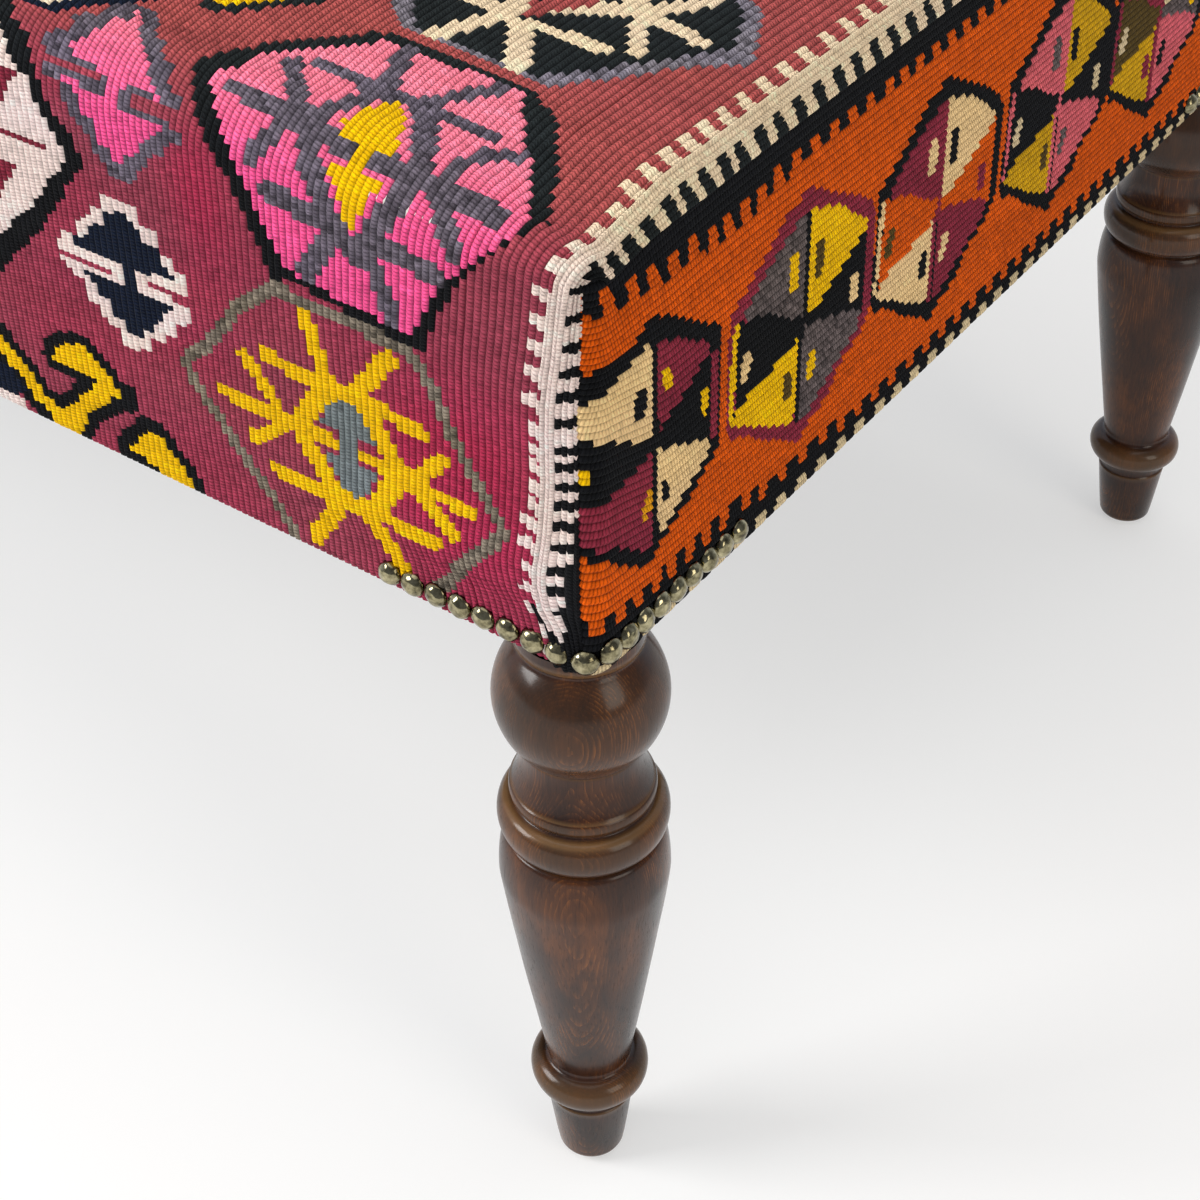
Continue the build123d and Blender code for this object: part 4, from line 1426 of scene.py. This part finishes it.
def dust_sheet():
    """Black cloth pulled flat under the frame, with its corners cut away round the legs."""
    half_x, half_y, notch = 585.0, 270.0, 36.8
    x = np.concatenate([[-half_x], np.linspace(-half_x + notch, half_x - notch, 113), [half_x]])
    y = np.concatenate([[-half_y], np.linspace(-half_y + notch, half_y - notch, 51), [half_y]])
    grid_x, grid_y = np.meshgrid(x, y)
    middle = np.cos(grid_x / half_x * pi / 2) * np.cos(grid_y / half_y * pi / 2)
    edge = np.minimum(half_x - np.abs(grid_x), half_y - np.abs(grid_y))
    ripple = 0.5 * drift(grid_x + 700, grid_y + 400, 24, 24, 3) * smooth(edge, 2, 40)
    z = LEG_TOP - 0.55 - 3.2 * middle + ripple
    points = np.stack([grid_x, grid_y, z], -1).reshape(-1, 3)
    faces = grid_faces(*grid_x.shape)[:, ::-1]
    centre = points[faces].mean(axis=1)
    keep = (np.abs(centre[:, 0]) < half_x - notch) | (np.abs(centre[:, 1]) < half_y - notch)
    faces = faces[keep]
    used, faces = np.unique(faces, return_inverse=True)
    piece = make_object("dust_sheet", points[used], faces.reshape(-1, 4), DUST, "dust_cloth")
    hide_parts("dust_cover")
    dust_staples()


def dust_staples():
    """Fine wire staples along the cloth's edges."""
    ring = [(0.35 * cos(t), 0.35 * sin(t)) for t in np.linspace(0, 2 * pi, 9)[:-1]]
    path = [(-5.0, 2.4), (-5.0, 0.6), (-4.8, 0.15), (-4.3, 0.0), (4.3, 0.0), (4.8, 0.15),
            (5.0, 0.6), (5.0, 2.4)]
    tube = np.array([
        [(along + q, p, down) if down == 2.4 else (along, p, down + q) for p, q in ring]
        for along, down in path
    ]).reshape(-1, 3)
    along, across, down = tube.T
    places = []
    for side in (-1, 1):
        places += [(x, side * 262.0, 0.0) for x in np.linspace(-500, 500, 17)]
        places += [(side * 577.0, y, pi / 2) for y in np.linspace(-190, 190, 7)]
    staples = []
    for x, y, turn in places:
        turn = turn + 0.12 * sin(x * 0.7 + y)
        c, s = cos(turn), sin(turn)
        points = [x + c * along - s * across, y + s * along + c * across, LEG_TOP - 1.0 + down]
        faces = grid_faces(len(path), len(ring), wrap=True)
        staples.append((np.stack(points, -1), faces))
    return make_object("dust_staples", *gathered(staples), STEEL, "steel")


# ---------------------------------------------------------------- building

cover = main_rug()
cover.append(end_rug("kilim_end_right", 1, 23))
cover.append(end_rug("kilim_end_left", -1, 47))
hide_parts("kilim_cover")

for name, x, y, turn, seed in (
    ("front_right", LEG_X, -LEG_Y, 4.25, 1),
    ("front_left", -LEG_X, -LEG_Y, 0.7, 2),
    ("back_right", LEG_X, LEG_Y, -1.1, 3),
    ("back_left", -LEG_X, LEG_Y, 3.6, 4),
):
    turned_leg("leg_" + name, x, y, turn, seed)

foot_pads()
dome_nails()
stuffing()
dust_sheet()

# The solids that stay get a fuller material
FINISHES = {
    "post": PINE, "rail": PINE, "cross_rail": PINE, "seat_deck": PLYWOOD, "deck_staples": STEEL,
    "leg_screws": STEEL,
}
for name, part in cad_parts.items():
    for start, material in FINISHES.items():
        if name.startswith(start):
            for place in part.material_slots:
                place.material = material
            if not part.material_slots:
                part.data.materials.append(material)


# ---------------------------------------------------------------- stage


def studio():
    """A plain floor and soft light. The backdrop is white, and glossy surfaces see it shaded."""
    floor_mesh = bpy.data.meshes.new("floor")
    wide = 14.0
    corners = [(-wide, -wide, 0), (wide, -wide, 0), (wide, wide, 0), (-wide, wide, 0)]
    floor_mesh.from_pydata(corners, [], [(0, 1, 2, 3)])
    floor = bpy.data.objects.new("floor", floor_mesh)
    bpy.context.scene.collection.objects.link(floor)
    s = Shader("floor", Specular_IOR_Level=0.0)
    direct, _ = s.backdrop_rays()
    s.put(s.surface.inputs["Emission Color"], (1.0, 1.0, 1.0))
    # How brightly the floor glows where it is seen, and how pale it is under the lamps and there
    glow, lit, seen = 0.47, 0.9, 0.54
    s.put(s.surface.inputs["Emission Strength"], s.times(direct, glow))
    shade = s.remap(direct, 0.0, 1.0, lit, seen)
    floor_mesh.materials.append(s.finish(s.join(shade, shade, shade), 0.9))

    world = bpy.data.worlds.new("studio")
    bpy.context.scene.world = world
    world.use_nodes = True
    s = Nodes(world.node_tree)
    direct, glossy = s.backdrop_rays()
    soft = s.add("Background", ((0.96, 0.98, 1.0), 0.5))
    around = s.add("TexCoord", output="Generated")
    behind = s.add("VectorMath", (around, (-0.62, 0.75, -0.2)), "Value", operation="DOT_PRODUCT")
    reflected = s.remap(behind, -0.1, 0.5, 0.22, 1.0)
    strength = s.add("Mix", {0: glossy, 2: 1.0, 3: reflected})
    bright = s.add("Background", (s.mix(glossy, (1, 1, 1), (0.80, 0.86, 1.0)), strength))
    out = s.nodes.new("ShaderNodeOutputWorld")
    s.put(out.inputs[0], s.add("MixShader", (direct, soft, bright)))

    def lamp(name, place, aim, size, energy, colour):
        data = bpy.data.lights.new(name, "AREA")
        data.shape = "RECTANGLE"
        data.size, data.size_y = size
        data.energy = energy
        data.color = colour
        thing = bpy.data.objects.new(name, data)
        thing.location = place
        thing.rotation_mode = "QUATERNION"
        thing.rotation_quaternion = (Vector(place) - Vector(aim)).to_track_quat("Z", "Y")
        bpy.context.scene.collection.objects.link(thing)

    lamp("key", (-2.0, -2.4, 2.2), (0.4, -0.3, 0.3), (1.6, 1.6), 106, (1.0, 0.99, 0.98))
    lamp("side", (3.2, -0.6, 1.4), (0.5, -0.1, 0.3), (1.2, 1.6), 20, (1.0, 0.92, 0.80))
    lamp("above", (0.3, -0.2, 3.4), (0.3, -0.1, 0.4), (2.6, 2.6), 25, (1.0, 0.98, 0.95))


def camera():
    """The photograph's camera, as fitted to its edges, the leg's outline and the nail rows."""
    pitch, yaw, roll = 0.605215, -0.669144, 0.0382482
    ahead = np.array([sin(yaw) * cos(pitch), cos(yaw) * cos(pitch), -sin(pitch)])
    right = np.array([cos(yaw), -sin(yaw), 0.0])
    down = np.cross(ahead, right)
    across = cos(roll) * right + sin(roll) * down
    below = -sin(roll) * right + cos(roll) * down
    data = bpy.data.cameras.new("camera")
    data.lens = 67.973
    data.sensor_width = 36.0
    data.shift_x = 0.0606
    data.shift_y = -0.1856
    data.clip_start = 0.05
    thing = bpy.data.objects.new("camera", data)
    bpy.context.scene.collection.objects.link(thing)
    axes = np.stack([across, -below, -ahead], axis=1)
    matrix = Matrix([list(row) for row in axes]).to_4x4()
    matrix.translation = Vector([value * MM for value in SIGHT])
    thing.matrix_world = matrix
    bpy.context.scene.camera = thing


studio()
camera()
bpy.context.scene.view_settings.view_transform = "Standard"
